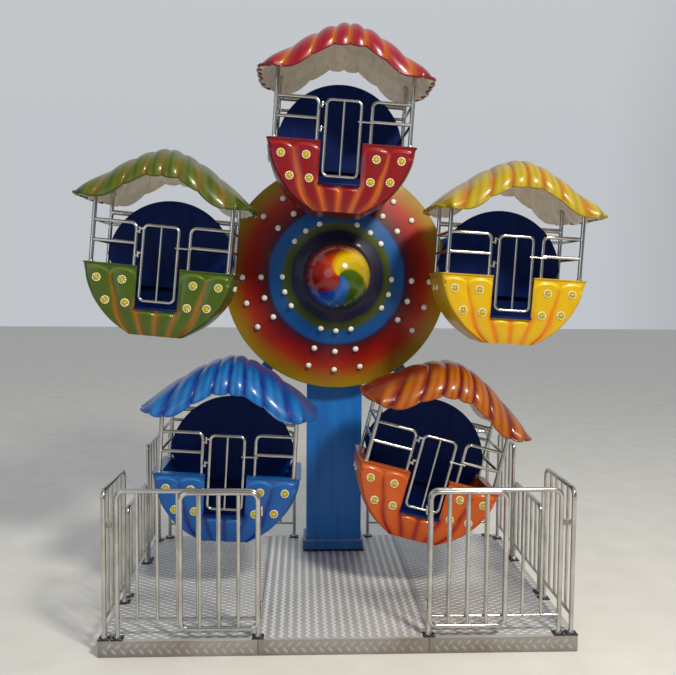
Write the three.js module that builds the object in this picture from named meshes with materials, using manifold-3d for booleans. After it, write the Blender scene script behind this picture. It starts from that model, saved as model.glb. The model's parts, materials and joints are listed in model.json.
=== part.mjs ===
// A small five-cabin ferris wheel for a fairground, with its tread-plate platform and tube fences.
// Millimetres, +Z up, the visitors' side towards -Y. The origin is on the ground, under the middle
// of the platform. The wheel stands as it stopped: turned by WHEEL.turn, its cabins a little tilted.
import * as THREE from "three";
import { mergeVertices } from "three/addons/utils/BufferGeometryUtils.js";
import Module from "manifold-3d";

const wasm = await Module();
wasm.setup();

// Driving dimensions
const SEAT = 0.3; // running gap between a piece and what carries it
const MIDDLE = 20; // the column and the entrance stand this far right of the platform's middle
const PLATFORM = { width: 3200, depth: 2220, height: 110, seam: 2 };
const ENTRANCE = { halfWidth: 570 }; // to the middle of the opening posts
const FENCE = { height: 1005, low: 690, tube: 16, baluster: 11, rail: 130, bend: 60, inset: 40 };
const CORNER = { x: 1475, sideX: 1560 };
const FOOT = { half: 39, thick: 8 };
const COLUMN = { width: 480, depth: 300, front: 678, aboveHub: 350 };
const PLINTH = { width: 535, depth: 355, height: 100 };
const HUB = { z: PLATFORM.height + 2413, bearing: 130, shaft: 55, drum: 150 };
const WHEEL = { radius: 1366, turn: -1, face: 945, faceFront: 520, armFront: 550, armBack: 620 };
const BALL = { radius: 263, y: 225 };
const BOSS = { radius: 75, front: 300, bore: 30.9, floor: 560 };
const CABIN = { y: -80, rim: -400, shaft: 30, shaftEnd: 520 };
const TUB = { halfWidth: 555, halfDepth: 300, y: -15, lip: 70, wall: 20, lobe: 12 };
const POST = { x: 498, front: -275, rear: 245, radius: 16, top: 130 };
const RAILS = { top: 307, middle: 162, radius: 12.5, innerLeft: -186, innerRight: 206 };
const CANOPY = { halfWidth: 662, front: -515, rear: 340, tip: 80, rise: 400 };
const EAVES = { drop: 18, rise: 190, rearLift: 30, flat: 480, arch: 420 };
const SHELL = { thick: 24, groove: 20, tuck: 0.96, lip: 0.95, share: 0.45 };
const SOCKET = { radius: 24, cover: 32 };
const BOARD = { radius: 495, thick: 18, centre: 35, cut: 70, waist: 460, foot: 400, low: -150 };
const DOORWAY = { left: -158, right: 150, sill: -300 };
const DOOR = { left: -140, right: 135, low: -263, high: 308, tube: 11, bar: 8, y: -300, hinge: -160 };
const HINGE = { heights: [60, 235], length: 22, radius: 8, strap: 6 }; // heights above the rim
const LATCH = { from: 105, past: 20, drop: 12, radius: 7 };
const BEND = { rail: 45, door: 40 };
const CROSSBAR = { radius: 20, plate: 90, near: 10, far: 28 };
const GATE = { pivot: 22, gap: 5, low: 80, high: 985, balusters: 3 };

const CABINS = [
  { colour: "red", angle: 90, tilt: 3.5, tub: 0xa8101c, canopy: 0xc01020 },
  { colour: "green", angle: 162, tilt: 5, tub: 0x4a6a0c, canopy: 0x7fa40f },
  { colour: "blue", angle: 234, tilt: 3, tub: 0x0e5aae, canopy: 0x1e78d8 },
  { colour: "orange", angle: 306, tilt: 14.5, tub: 0xe0660c, canopy: 0xe87a10 },
  { colour: "yellow", angle: 18, tilt: 3, tub: 0xe8b800, canopy: 0xf0c400 },
];

const finish = (color, roughness, metalness) =>
  new THREE.MeshStandardMaterial({ color, roughness, metalness });
const STEEL = finish(0xc8ccd0, 0.25, 1);
const TREAD = finish(0xa8abad, 0.4, 1);
const BLUE_PAINT = finish(0x0f4c94, 0.4, 0);
const NAVY = finish(0x04103c, 0.4, 0);
const BANDS = finish(0xd06a20, 0.3, 0);
const BALL_PAINT = finish(0xd83020, 0.25, 0);

// A closed geometry as a manifold solid.
function solid(geometry) {
  const bare = geometry.index ? geometry.toNonIndexed() : geometry.clone();
  bare.deleteAttribute("normal");
  bare.deleteAttribute("uv");
  const merged = mergeVertices(bare, 1e-4);
  return new wasm.Manifold(
    new wasm.Mesh({
      numProp: 3,
      vertProperties: merged.attributes.position.array,
      triVerts: new Uint32Array(merged.index.array),
    }),
  );
}

const join = (pieces) => pieces.reduce((whole, piece) => whole.add(piece));

// A named mesh of a solid.
function mesh(name, made, material) {
  const { vertProperties, triVerts, numProp } = made.getMesh();
  const positions = new Float32Array((vertProperties.length / numProp) * 3);
  for (let i = 0; i < positions.length / 3; i += 1)
    positions.set(vertProperties.subarray(i * numProp, i * numProp + 3), i * 3);
  const geometry = new THREE.BufferGeometry();
  geometry.setAttribute("position", new THREE.BufferAttribute(positions, 3));
  geometry.setIndex(new THREE.BufferAttribute(new Uint32Array(triVerts), 1));
  geometry.computeVertexNormals();
  const result = new THREE.Mesh(geometry, material);
  result.name = name;
  return result;
}

// A box between two opposite corners.
function block([x0, y0, z0], [x1, y1, z1]) {
  const geometry = new THREE.BoxGeometry(x1 - x0, y1 - y0, z1 - z0);
  return solid(geometry.translate((x0 + x1) / 2, (y0 + y1) / 2, (z0 + z1) / 2));
}

// A round bar between two points.
function bar(from, to, radius, sides = 6) {
  const a = new THREE.Vector3(...from);
  const b = new THREE.Vector3(...to);
  const geometry = new THREE.CylinderGeometry(radius, radius, a.distanceTo(b), sides);
  const along = b.clone().sub(a).normalize();
  const turn = new THREE.Quaternion().setFromUnitVectors(new THREE.Vector3(0, 1, 0), along);
  const middle = a.add(b).multiplyScalar(0.5);
  return solid(geometry.applyQuaternion(turn).translate(middle.x, middle.y, middle.z));
}

// A path that passes exactly through its points, so a swept tube has one ring at each of them.
class Route extends THREE.Curve {
  constructor(points) {
    super();
    this.points = points;
  }
  getPointAt(t) {
    return this.points[Math.round(t * (this.points.length - 1))].clone();
  }
  getPoint(t) {
    return this.getPointAt(t);
  }
  getTangentAt(t) {
    const i = Math.round(t * (this.points.length - 1));
    const before = this.points[Math.max(i - 1, 0)];
    const here = this.points[i];
    const after = this.points[Math.min(i + 1, this.points.length - 1)];
    const arriving = here.clone().sub(before).normalize();
    const leaving = after.clone().sub(here).normalize();
    return arriving.add(leaving).normalize();
  }
}

// The corners of a path rounded to a bend radius, each in two chords.
function rounded(corners, bend) {
  const points = corners.map((corner) => new THREE.Vector3(...corner));
  const path = [points[0]];
  for (let i = 1; i < points.length - 1; i += 1) {
    const back = points[i - 1].clone().sub(points[i]).setLength(bend).add(points[i]);
    const on = points[i + 1].clone().sub(points[i]).setLength(bend).add(points[i]);
    const curve = new THREE.QuadraticBezierCurve3(back, points[i], on);
    path.push(...curve.getPoints(2));
  }
  path.push(points[points.length - 1]);
  return path;
}

// A bent tube along corner points.
function tube(corners, radius, bend, sides = 6) {
  const path = bend ? rounded(corners, bend) : corners.map((c) => new THREE.Vector3(...c));
  const section = new THREE.Shape();
  for (let i = 0; i < sides; i += 1) {
    const angle = ((i + 0.5) / sides) * 2 * Math.PI;
    const [x, y] = [radius * Math.cos(angle), radius * Math.sin(angle)];
    if (i === 0) section.moveTo(x, y);
    else section.lineTo(x, y);
  }
  section.closePath();
  const options = { steps: path.length - 1, extrudePath: new Route(path), bevelEnabled: false };
  return solid(new THREE.ExtrudeGeometry(section, options));
}

// A body of revolution about the Y axis, from (radius, y) profile points in either order.
function turned(profile, segments = 32) {
  const area = profile.reduce((sum, [radius, y], i) => {
    const [nextRadius, nextY] = profile[(i + 1) % profile.length];
    return sum + radius * nextY - nextRadius * y;
  }, 0);
  const points = profile.map(([radius, y]) => new THREE.Vector2(radius, y));
  return solid(new THREE.LatheGeometry(area > 0 ? points : points.reverse(), segments));
}

// The platform: three tread-plate boxes side by side.
function platformSections() {
  const [half, front] = [PLATFORM.width / 2, -PLATFORM.depth / 2];
  const left = MIDDLE - ENTRANCE.halfWidth;
  const right = MIDDLE + ENTRANCE.halfWidth;
  const gap = PLATFORM.seam / 2;
  const spans = { left: [-half, left - gap], centre: [left + gap, right - gap], right: [right + gap, half] };
  return Object.entries(spans).map(([side, [from, to]]) =>
    mesh(`platform_${side}`, block([from, front, 0], [to, -front, PLATFORM.height]), TREAD),
  );
}

// The steel box column on its plinth, with the bearing ring that carries the wheel.
function columnPieces() {
  const floor = PLATFORM.height + SEAT;
  const plinthTop = floor + PLINTH.height;
  const [halfPlinth, half] = [PLINTH.width / 2, COLUMN.width / 2];
  const back = COLUMN.front + COLUMN.depth;
  const spare = (PLINTH.depth - COLUMN.depth) / 2;
  const plinth = block(
    [MIDDLE - halfPlinth, COLUMN.front - spare, floor],
    [MIDDLE + halfPlinth, back + spare, plinthTop],
  );
  const shaft = block(
    [MIDDLE - half, COLUMN.front, plinthTop + SEAT],
    [MIDDLE + half, back, HUB.z + COLUMN.aboveHub],
  );
  const seat = COLUMN.front - SEAT;
  const ring = turned([
    [HUB.shaft, WHEEL.armBack + 25],
    [HUB.bearing, WHEEL.armBack + 25],
    [HUB.bearing, seat],
    [HUB.shaft, seat],
    [HUB.shaft, WHEEL.armBack + 25],
  ], 20);
  return [
    mesh("column_base", plinth, BLUE_PAINT),
    mesh("column", shaft, BLUE_PAINT),
    mesh("hub_bearing", ring.translate([MIDDLE, 0, HUB.z]), BLUE_PAINT),
  ];
}

// A fence panel in its own plane: x along the panel from 0 to length, z from the platform up.
function fencePanel(length, height, balusters) {
  const [top, foot] = [height - FENCE.tube, FOOT.thick / 2];
  const corners = [[0, 0, foot], [0, 0, top], [length, 0, top], [length, 0, foot]];
  const pieces = [tube(corners, FENCE.tube, FENCE.bend)];
  pieces.push(bar([0, 0, FENCE.rail], [length, 0, FENCE.rail], FENCE.baluster, 4));
  for (let i = 1; i <= balusters; i += 1) {
    const x = (length * i) / (balusters + 1);
    pieces.push(bar([x, 0, FENCE.rail], [x, 0, top], FENCE.baluster, 4));
  }
  for (const x of [0, length])
    pieces.push(block([x - FOOT.half, -FOOT.half, 0], [x + FOOT.half, FOOT.half, FOOT.thick]));
  return join(pieces);
}

// The lower half of a hinge: a knuckle on the gate's axis, held to the opening post.
function gateKnuckle(post, side, z, height) {
  const axis = [post + side * GATE.pivot, fenceFront() - GATE.pivot];
  const knuckle = bar([...axis, z], [...axis, z + height], 10);
  return knuckle.add(bar([post, fenceFront(), z + height / 2], [...axis, z + height / 2], 7, 4));
}

const fenceFront = () => -PLATFORM.depth / 2 + FENCE.inset;
const GATE_HINGES = [190, 830]; // heights above the platform

// A fixed front panel from its corner post to its opening post, with the gate's lower knuckles.
function frontPanel(name, side) {
  const post = MIDDLE + side * -ENTRANCE.halfWidth;
  const corner = -side * CORNER.x;
  const [from, to] = [Math.min(post, corner), Math.max(post, corner)];
  const floor = PLATFORM.height + SEAT;
  const panel = fencePanel(to - from, FENCE.height, 6).translate([from, fenceFront(), floor]);
  const knuckles = GATE_HINGES.map((z) => gateKnuckle(post, side, floor + z, 30));
  return mesh(name, join([panel, ...knuckles]), STEEL);
}

// One gate leaf, folded back in front of its fixed panel. side is +1 where it closes towards +X.
function gateLeaf(name, side) {
  const post = MIDDLE - side * ENTRANCE.halfWidth;
  const y = fenceFront() - 2 * GATE.pivot;
  const reach = ENTRANCE.halfWidth - 2 * GATE.pivot - GATE.gap - FENCE.tube;
  const far = post - side * reach;
  const floor = PLATFORM.height + SEAT;
  const [low, high] = [floor + GATE.low, floor + GATE.high];
  const middle = (post + far) / 2;
  const upper = [[post, y, (low + high) / 2], [post, y, high], [far, y, high], [far, y, (low + high) / 2]];
  const lower = upper.map(([x, , z]) => [x, y, z === high ? low : z]);
  const pieces = [tube(upper, FENCE.tube, FENCE.bend), tube(lower, FENCE.tube, FENCE.bend)];
  for (let i = 1; i <= GATE.balusters; i += 1) {
    const x = post + ((far - post) * i) / (GATE.balusters + 1);
    pieces.push(bar([x, y, low], [x, y, high], FENCE.baluster, 4));
  }
  const axis = [post + side * GATE.pivot, fenceFront() - GATE.pivot];
  for (const hinge of GATE_HINGES) {
    const z = floor + hinge + 30 + SEAT;
    pieces.push(bar([...axis, z], [...axis, z + 30], 10));
    pieces.push(bar([post, y, z + 15], [...axis, z + 15], 7, 4));
  }
  return mesh(name, join(pieces), STEEL);
}

// The side and back panels, in plan: where each starts, where it runs, its height and balusters.
function otherPanels() {
  const back = -fenceFront();
  const floor = PLATFORM.height + SEAT;
  const runs = [
    { part: "front", from: fenceFront(), to: -455, height: FENCE.height, balusters: 4 },
    { part: "middle", from: -335, to: 395, height: FENCE.low, balusters: 5 },
    { part: "rear", from: 478, to: back - 85, height: FENCE.height, balusters: 3 },
  ];
  const made = [];
  for (const [side, x] of [["left", -CORNER.sideX], ["right", CORNER.sideX]])
    for (const { part, from, to, height, balusters } of runs) {
      let panel = fencePanel(to - from, height, balusters).rotate([0, 0, 90]);
      panel = panel.translate([x, from, floor]);
      if (part === "front") panel = panel.add(tie(x, floor));
      made.push(mesh(`fence_${side}_${part}`, panel, STEEL));
    }
  for (const [side, from, to] of [["left", -CORNER.x, -330], ["right", 355, CORNER.x]]) {
    const panel = fencePanel(to - from, FENCE.height, 8).translate([from, back, floor]);
    made.push(mesh(`fence_back_${side}`, panel, STEEL));
  }
  return made;
}

// The flat tie between a side panel and the corner post of the front panel.
function tie(x, floor) {
  const post = Math.sign(x) * CORNER.x;
  const near = post + Math.sign(x) * (FENCE.tube + SEAT);
  const [from, to] = [Math.min(x, near), Math.max(x, near)];
  return block([from, fenceFront() - 5, floor + 745], [to, fenceFront() + 5, floor + 785]);
}

// The five arms on their hub drum, with the shaft behind and a boss for each cabin's shaft.
function wheelArms() {
  const profile = [
    [0, WHEEL.armFront],
    [HUB.drum, WHEEL.armFront],
    [HUB.drum, WHEEL.armBack],
    [HUB.shaft - 1, WHEEL.armBack],
    [HUB.shaft - 1, COLUMN.front - 1],
    [0, COLUMN.front - 1],
  ];
  const pieces = [turned(profile, 20)];
  const bores = [];
  for (const { angle } of CABINS) {
    const arm = block([0, WHEEL.armFront, -50], [WHEEL.radius, WHEEL.armBack, 50]);
    const boss = bar([0, BOSS.front, 0], [0, WHEEL.armBack, 0], BOSS.radius, 12);
    const bore = bar([0, BOSS.front - 1, 0], [0, BOSS.floor, 0], BOSS.bore, 16);
    pieces.push(arm.rotate([0, -angle, 0]));
    const at = polar(WHEEL.radius, angle);
    pieces.push(boss.translate(at));
    bores.push(bore.translate(at));
  }
  return join(pieces).subtract(join(bores));
}

// A point on a circle in the wheel's plane, angle in degrees from +X towards +Z.
function polar(radius, angle) {
  const turn = (angle * Math.PI) / 180;
  return [radius * Math.cos(turn), 0, radius * Math.sin(turn)];
}

// The round painted face: a shallow stepped dome, as (radius, depth in front of the rim).
const FACE = [[812, 45], [565, 140], [455, 190], [375, 260], [290, 295]];
const FACE_WALL = 16;

function wheelFace() {
  const front = FACE.map(([radius, proud]) => [radius, WHEEL.faceFront - proud]);
  const inner = FACE.filter((point, i) => i !== 1);
  const back = inner.map(([radius, proud]) => [radius - 6, WHEEL.faceFront - proud + FACE_WALL]);
  const seat = WHEEL.armFront - SEAT;
  const profile = [
    [WHEEL.face, seat],
    [WHEEL.face, WHEEL.faceFront],
    ...front,
    [BALL.radius - 15, BALL.y],
    [BALL.radius - 15, BALL.y + FACE_WALL],
    ...back.reverse(),
    [WHEEL.face - 20, WHEEL.faceFront + FACE_WALL],
    [WHEEL.face - 20, seat],
    [WHEEL.face, seat],
  ];
  return turned(profile, 28);
}

// The ball in the middle of the face: a dome with a flat back.
function hubBall() {
  const profile = [[0, BALL.y - BALL.radius]];
  for (let i = 1; i <= 6; i += 1) {
    const angle = (i / 6) * (Math.PI / 2);
    profile.push([BALL.radius * Math.sin(angle), BALL.y - SEAT - BALL.radius * Math.cos(angle)]);
  }
  profile.push([0, BALL.y - SEAT]);
  return turned(profile, 24);
}

function wheelPieces() {
  const group = new THREE.Group();
  group.position.set(MIDDLE, 0, HUB.z);
  group.rotation.y = (-WHEEL.turn * Math.PI) / 180;
  group.add(mesh("wheel_arms", wheelArms(), BLUE_PAINT));
  group.add(mesh("wheel_face", wheelFace(), BANDS));
  group.add(mesh("hub_ball", hubBall(), BALL_PAINT));
  return group;
}

// The bowl's outer outline down from the rim: depth, half width and half depth.
const BOWL = [[0, 555, 300], [-140, 527, 297], [-310, 437, 290], [-430, 320, 278], [-505, 205, 260]];

// Where the lobes' crests and the grooves between them lie, as shares of a half side.
const FRONT_LOBES = [0, 0.12, 0.24, 0.43, 0.64, 0.82, 1];
const SIDE_LOBES = [0, 0.5, 1];

// Half a side mirrored, as [share, whether it is a groove]; every second point is a groove.
function mirrored(shares) {
  const half = shares.map((share, i) => [share, i % 2 === 0 && share < 1]);
  return [...half.slice(1).reverse().map(([share, groove]) => [-share, groove]), ...half];
}

// One ring of the tub, anticlockwise from its front left corner. Its grooves lie deeper.
function tubRing(z, halfWidth, halfDepth, groove) {
  const sides = [
    { shares: FRONT_LOBES, at: (s, in_) => [s * halfWidth, -halfDepth + in_] },
    { shares: SIDE_LOBES, at: (s, in_) => [halfWidth - in_, s * halfDepth] },
    { shares: FRONT_LOBES, at: (s, in_) => [-s * halfWidth, halfDepth - in_] },
    { shares: SIDE_LOBES, at: (s, in_) => [-halfWidth + in_, -s * halfDepth] },
  ];
  return sides.flatMap(({ shares, at }) =>
    mirrored(shares).slice(0, -1).map(([share, deep]) => {
      const [x, y] = at(share, deep ? groove : 0);
      return [x, TUB.y + y, z];
    }),
  );
}

// A closed body from a stack of rings of equal length, with a middle point at both ends.
function lofted(rings) {
  const count = rings[0].length;
  const positions = rings.flat(2);
  const ends = [rings[0], rings[rings.length - 1]].map((ring) => [0, TUB.y, ring[0][2]]);
  positions.push(...ends.flat());
  const first = rings.length * count;
  const faces = [];
  for (let i = 0; i < count; i += 1) {
    const next = (i + 1) % count;
    for (let r = 0; r < rings.length - 1; r += 1) {
      const [a, b] = [r * count + i, r * count + next];
      faces.push(a, b, b + count, a, b + count, a + count);
    }
    const last = (rings.length - 1) * count;
    faces.push(first, next, i);
    faces.push(first + 1, last + i, last + next);
  }
  const geometry = new THREE.BufferGeometry();
  geometry.setAttribute("position", new THREE.Float32BufferAttribute(positions, 3));
  geometry.setIndex(faces);
  return solid(geometry);
}

// The scallop bowl: outer wall up to the rim, over the lip and down inside to the floor.
function tubSolid() {
  const rings = [];
  for (const [z, width, depth] of [...BOWL].reverse())
    rings.push(tubRing(CABIN.rim + z, width, depth, z < 0 ? TUB.lobe : 0));
  const lip = [TUB.halfWidth - TUB.lip, TUB.halfDepth - TUB.lip];
  rings.push(tubRing(CABIN.rim, ...lip, 0));
  rings.push(tubRing(CABIN.rim - TUB.wall, ...lip, 0));
  const thick = TUB.wall + TUB.lobe * 2;
  BOWL.slice(0, 3).forEach(([z, width, depth]) => {
    const level = Math.min(z, -TUB.wall - 1);
    rings.push(tubRing(CABIN.rim + level, width - thick, depth - thick, 0));
  });
  const [bottom, width, depth] = BOWL[BOWL.length - 1];
  rings.push(tubRing(CABIN.rim + bottom + TUB.wall, width - thick, depth - thick, 0));
  const doorway = block(
    [DOORWAY.left, -2 * TUB.halfDepth, CABIN.rim + DOORWAY.sill],
    [DOORWAY.right, -TUB.halfDepth / 2, CABIN.rim + TUB.lip],
  );
  return lofted(rings).subtract(doorway);
}

// The canopy's upper outline across the cabin.
function canopyTop(x) {
  return CANOPY.tip + CANOPY.rise * (1 - (Math.abs(x) / CANOPY.halfWidth) ** 1.5);
}

// The height of its eaves: level near the tips, arched in the middle, a little higher at the rear.
function canopyEaves(x, share) {
  const arch = THREE.MathUtils.smoothstep(EAVES.flat - Math.abs(x), 0, EAVES.arch);
  const lift = (EAVES.rearLift * (share + 1)) / 2;
  return CANOPY.tip - EAVES.drop + EAVES.rise * arch + lift * arch;
}

// Where the crests and grooves cross the eaves and the ridge, from the middle outwards.
// The first is a groove, every second one a crest, and the last is the tip.
const FLUTES = [[0, 0], [57, 45], [115, 90], [190, 147], [265, 205], [362, 282], [460, 360], [565, 510]];

// Rows of the canopy from front to back, as shares of its half depth.
const CANOPY_ROWS = [-1, -0.93, -0.75, -0.4, 0, 0.45, 0.85, 1];
const ROUNDNESS = { front: 2.2, rear: 3.2 };
const FAN = 0.55; // how soon the crests spread from the ridge's spacing to that of the eaves

// The height of a row, as a share of the way from the eaves to the ridge.
function canopyHeight(share) {
  const power = share < 0 ? ROUNDNESS.front : ROUNDNESS.rear;
  return (1 - Math.abs(share) ** power) ** (1 / power);
}

const canopyY = (share) => (CANOPY.front + CANOPY.rear) / 2 + ((CANOPY.rear - CANOPY.front) / 2) * share;

// The fluted canopy shell, with a socket under each corner for the posts.
function canopySolid() {
  const tip = [CANOPY.halfWidth, CANOPY.halfWidth];
  const half = [...FLUTES, tip];
  const mirrored = half.slice(1).reverse().map(([edge, ridge]) => [-edge, -ridge]);
  const flutes = [...mirrored, ...half];
  const columns = flutes.length;
  const positions = [];
  for (const under of [false, true])
    CANOPY_ROWS.forEach((share) => {
      const height = canopyHeight(share);
      flutes.forEach(([edge, ridge], i) => {
        const crest = i % 2 === 1 || i === 0 || i === columns - 1;
        const x = ridge + (edge - ridge) * (1 - height) ** FAN;
        const [low, top] = [canopyEaves(x, share), canopyTop(x)];
        const thick = Math.min(SHELL.thick, (top - low) * SHELL.share) * (height > 0 ? 1 : 0);
        const groove = crest ? 0 : SHELL.groove * height;
        const y = canopyY(share * (crest ? 1 : SHELL.tuck) * (under ? SHELL.lip : 1));
        positions.push(x, y, low + (top - low) * height - groove - (under ? thick : 0));
      });
    });
  const faces = [];
  const rows = CANOPY_ROWS.length;
  const at = (under, row, column) => (under * rows + row) * columns + column;
  const quad = (a, b, c, d) => faces.push(a, b, c, a, c, d);
  for (let r = 0; r < rows - 1; r += 1)
    for (let c = 0; c < columns - 1; c += 1) {
      quad(at(0, r, c), at(0, r, c + 1), at(0, r + 1, c + 1), at(0, r + 1, c));
      quad(at(1, r, c), at(1, r + 1, c), at(1, r + 1, c + 1), at(1, r, c + 1));
    }
  for (let c = 0; c < columns - 1; c += 1) {
    quad(at(1, 0, c), at(1, 0, c + 1), at(0, 0, c + 1), at(0, 0, c));
    quad(at(0, rows - 1, c), at(0, rows - 1, c + 1), at(1, rows - 1, c + 1), at(1, rows - 1, c));
  }
  for (let r = 0; r < rows - 1; r += 1) {
    quad(at(0, r, 0), at(0, r + 1, 0), at(1, r + 1, 0), at(1, r, 0));
    const end = columns - 1;
    quad(at(1, r, end), at(1, r + 1, end), at(0, r + 1, end), at(0, r, end));
  }
  const geometry = new THREE.BufferGeometry();
  geometry.setAttribute("position", new THREE.Float32BufferAttribute(positions, 3));
  geometry.setIndex(faces);
  const sockets = corners().map(([x, y]) => {
    const share = (y - canopyY(0)) / (canopyY(1) - canopyY(0));
    const low = canopyEaves(x, share);
    const crown = low + (canopyTop(x) - low) * canopyHeight(share);
    return bar([x, y, POST.top + SEAT], [x, y, crown - SOCKET.cover], SOCKET.radius, 4);
  });
  return join([solid(geometry), ...sockets]);
}

const corners = () => [-POST.x, POST.x].flatMap((x) => [[x, POST.front], [x, POST.rear]]);

// The stainless cabin frame: posts, rails, the pivot bar behind and the shaft into the wheel.
function frameSolid() {
  const foot = CABIN.rim + SEAT;
  const [top, middle] = [CABIN.rim + RAILS.top, CABIN.rim + RAILS.middle];
  const pieces = corners().map(([x, y]) => bar([x, y, foot], [x, y, POST.top], POST.radius));
  const { x, front, rear } = POST;
  for (const z of [top, middle]) {
    for (const side of [-x, x]) pieces.push(bar([side, front, z], [side, rear, z], RAILS.radius, 4));
    pieces.push(bar([-x, rear, z], [x, rear, z], RAILS.radius, 4));
  }
  for (const [post, inner] of [[-x, RAILS.innerLeft], [x, RAILS.innerRight]]) {
    const path = [[post, front, top], [inner, front, top], [inner, front, foot]];
    pieces.push(tube(path, RAILS.radius, BEND.rail, 4));
    pieces.push(bar([post, front, middle], [inner, front, middle], RAILS.radius, 4));
  }
  const { plate, near, far } = CROSSBAR;
  pieces.push(bar([-x, rear, 0], [x, rear, 0], CROSSBAR.radius, 4));
  pieces.push(block([-plate, rear + near, -plate], [plate, rear + far, plate]));
  pieces.push(bar([0, rear, 0], [0, CABIN.shaftEnd - CABIN.y, 0], CABIN.shaft, 16));
  for (const height of HINGE.heights) pieces.push(doorKnuckle(height));
  return join(pieces);
}

// The lower half of a door hinge, on the left inner post.
function doorKnuckle(height) {
  const z = CABIN.rim + height;
  const middle = z + HINGE.length / 2;
  const knuckle = bar([DOOR.hinge, DOOR.y, z], [DOOR.hinge, DOOR.y, z + HINGE.length], HINGE.radius);
  const strap = bar([RAILS.innerLeft, POST.front, middle], [DOOR.hinge, DOOR.y, middle], HINGE.strap, 4);
  return knuckle.add(strap);
}

// The round navy board at the back of the cabin, narrower where it goes down into the tub.
function boardSolid() {
  const shape = new THREE.Shape();
  const centre = CABIN.rim + BOARD.centre;
  const start = Math.asin((BOARD.cut - BOARD.centre) / BOARD.radius);
  shape.moveTo(-BOARD.foot, CABIN.rim + BOARD.low);
  shape.lineTo(BOARD.foot, CABIN.rim + BOARD.low);
  shape.lineTo(BOARD.waist, CABIN.rim);
  const steps = 14;
  for (let i = 0; i <= steps; i += 1) {
    const angle = start + ((Math.PI - 2 * start) * i) / steps;
    shape.lineTo(BOARD.radius * Math.cos(angle), centre + BOARD.radius * Math.sin(angle));
  }
  shape.lineTo(-BOARD.waist, CABIN.rim);
  const depth = BOARD.thick;
  const back = TUB.y + TUB.halfDepth - TUB.lip - SEAT; // screwed to the tub's lip
  const geometry = new THREE.ExtrudeGeometry(shape, { depth, bevelEnabled: false });
  return solid(geometry.rotateX(Math.PI / 2).translate(0, back, 0));
}

// The door: a rounded tube frame with one middle bar, its hinge knuckles and its latch bar.
function doorSolid() {
  const { left, right, tube: radius, y } = DOOR;
  const [low, high] = [CABIN.rim + DOOR.low + radius, CABIN.rim + DOOR.high - radius];
  const [x0, x1] = [left + radius, right - radius];
  const half = (low + high) / 2;
  const pieces = [
    tube([[x0, y, half], [x0, y, high], [x1, y, high], [x1, y, half]], radius, BEND.door, 4),
    tube([[x0, y, half], [x0, y, low], [x1, y, low], [x1, y, half]], radius, BEND.door, 4),
    bar([(x0 + x1) / 2, y, low], [(x0 + x1) / 2, y, high], DOOR.bar, 4),
  ];
  for (const height of HINGE.heights) {
    const z = CABIN.rim + height + HINGE.length + SEAT;
    const middle = z + HINGE.length / 2;
    pieces.push(bar([DOOR.hinge, y, z], [DOOR.hinge, y, z + HINGE.length], HINGE.radius));
    pieces.push(bar([x0, y, middle], [DOOR.hinge, y, middle], HINGE.strap, 4));
  }
  const [front, level] = [y - LATCH.drop, CABIN.rim + RAILS.middle - LATCH.drop];
  const end = RAILS.innerRight + LATCH.past;
  pieces.push(bar([LATCH.from, front, level], [end, front, level], LATCH.radius, 4));
  return join(pieces);
}

// One cabin, hung at its pivot on the wheel.
function cabin({ colour, angle, tilt, tub, canopy }) {
  const group = new THREE.Group();
  const [x, , z] = polar(WHEEL.radius, angle + WHEEL.turn);
  group.position.set(MIDDLE + x, CABIN.y, HUB.z + z);
  group.rotation.y = (tilt * Math.PI) / 180;
  group.add(mesh(`${colour}_tub`, tubSolid(), finish(tub, 0.3, 0)));
  group.add(mesh(`${colour}_canopy`, canopySolid(), finish(canopy, 0.3, 0)));
  group.add(mesh(`${colour}_frame`, frameSolid(), STEEL));
  group.add(mesh(`${colour}_board`, boardSolid(), NAVY));
  group.add(mesh(`${colour}_door`, doorSolid(), STEEL));
  return group;
}

const ferrisWheel = new THREE.Group();
ferrisWheel.add(...platformSections(), ...columnPieces());
ferrisWheel.add(frontPanel("fence_front_left", 1), frontPanel("fence_front_right", -1));
ferrisWheel.add(...otherPanels(), gateLeaf("gate_left", 1), gateLeaf("gate_right", -1));
ferrisWheel.add(wheelPieces(), ...CABINS.map(cabin));

export default ferrisWheel;
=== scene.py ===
"""Looks of a small five-cabin fairground ferris wheel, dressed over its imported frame.

Metres, +Z up, the visitors' side towards -Y. Each sub-assembly is a class that holds its sizes and
builds its own pieces; each finish is a small frozen class that makes a node material.
"""
import json
import logging
import math
from dataclasses import dataclass, field
from enum import Enum, StrEnum
from functools import partial
from itertools import product
from typing import Any, Callable, Sequence

import bpy
import numpy as np
from mathutils import Matrix, Vector


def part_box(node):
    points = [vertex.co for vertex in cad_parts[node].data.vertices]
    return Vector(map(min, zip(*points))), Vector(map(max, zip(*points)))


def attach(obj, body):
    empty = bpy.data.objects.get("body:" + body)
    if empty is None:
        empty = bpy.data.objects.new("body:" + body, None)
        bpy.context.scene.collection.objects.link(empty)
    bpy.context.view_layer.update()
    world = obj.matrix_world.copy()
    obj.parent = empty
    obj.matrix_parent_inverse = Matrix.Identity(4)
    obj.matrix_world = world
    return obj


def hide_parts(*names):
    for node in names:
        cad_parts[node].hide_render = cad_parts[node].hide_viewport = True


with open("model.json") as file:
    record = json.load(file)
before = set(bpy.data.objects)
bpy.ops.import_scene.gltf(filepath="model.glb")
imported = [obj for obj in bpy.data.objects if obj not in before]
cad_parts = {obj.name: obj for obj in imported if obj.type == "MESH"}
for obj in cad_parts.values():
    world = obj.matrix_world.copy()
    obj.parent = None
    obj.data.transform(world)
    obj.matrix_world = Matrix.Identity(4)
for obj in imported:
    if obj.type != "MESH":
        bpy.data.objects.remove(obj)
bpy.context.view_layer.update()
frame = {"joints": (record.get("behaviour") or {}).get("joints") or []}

log = logging.getLogger("ferris_wheel")

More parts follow.
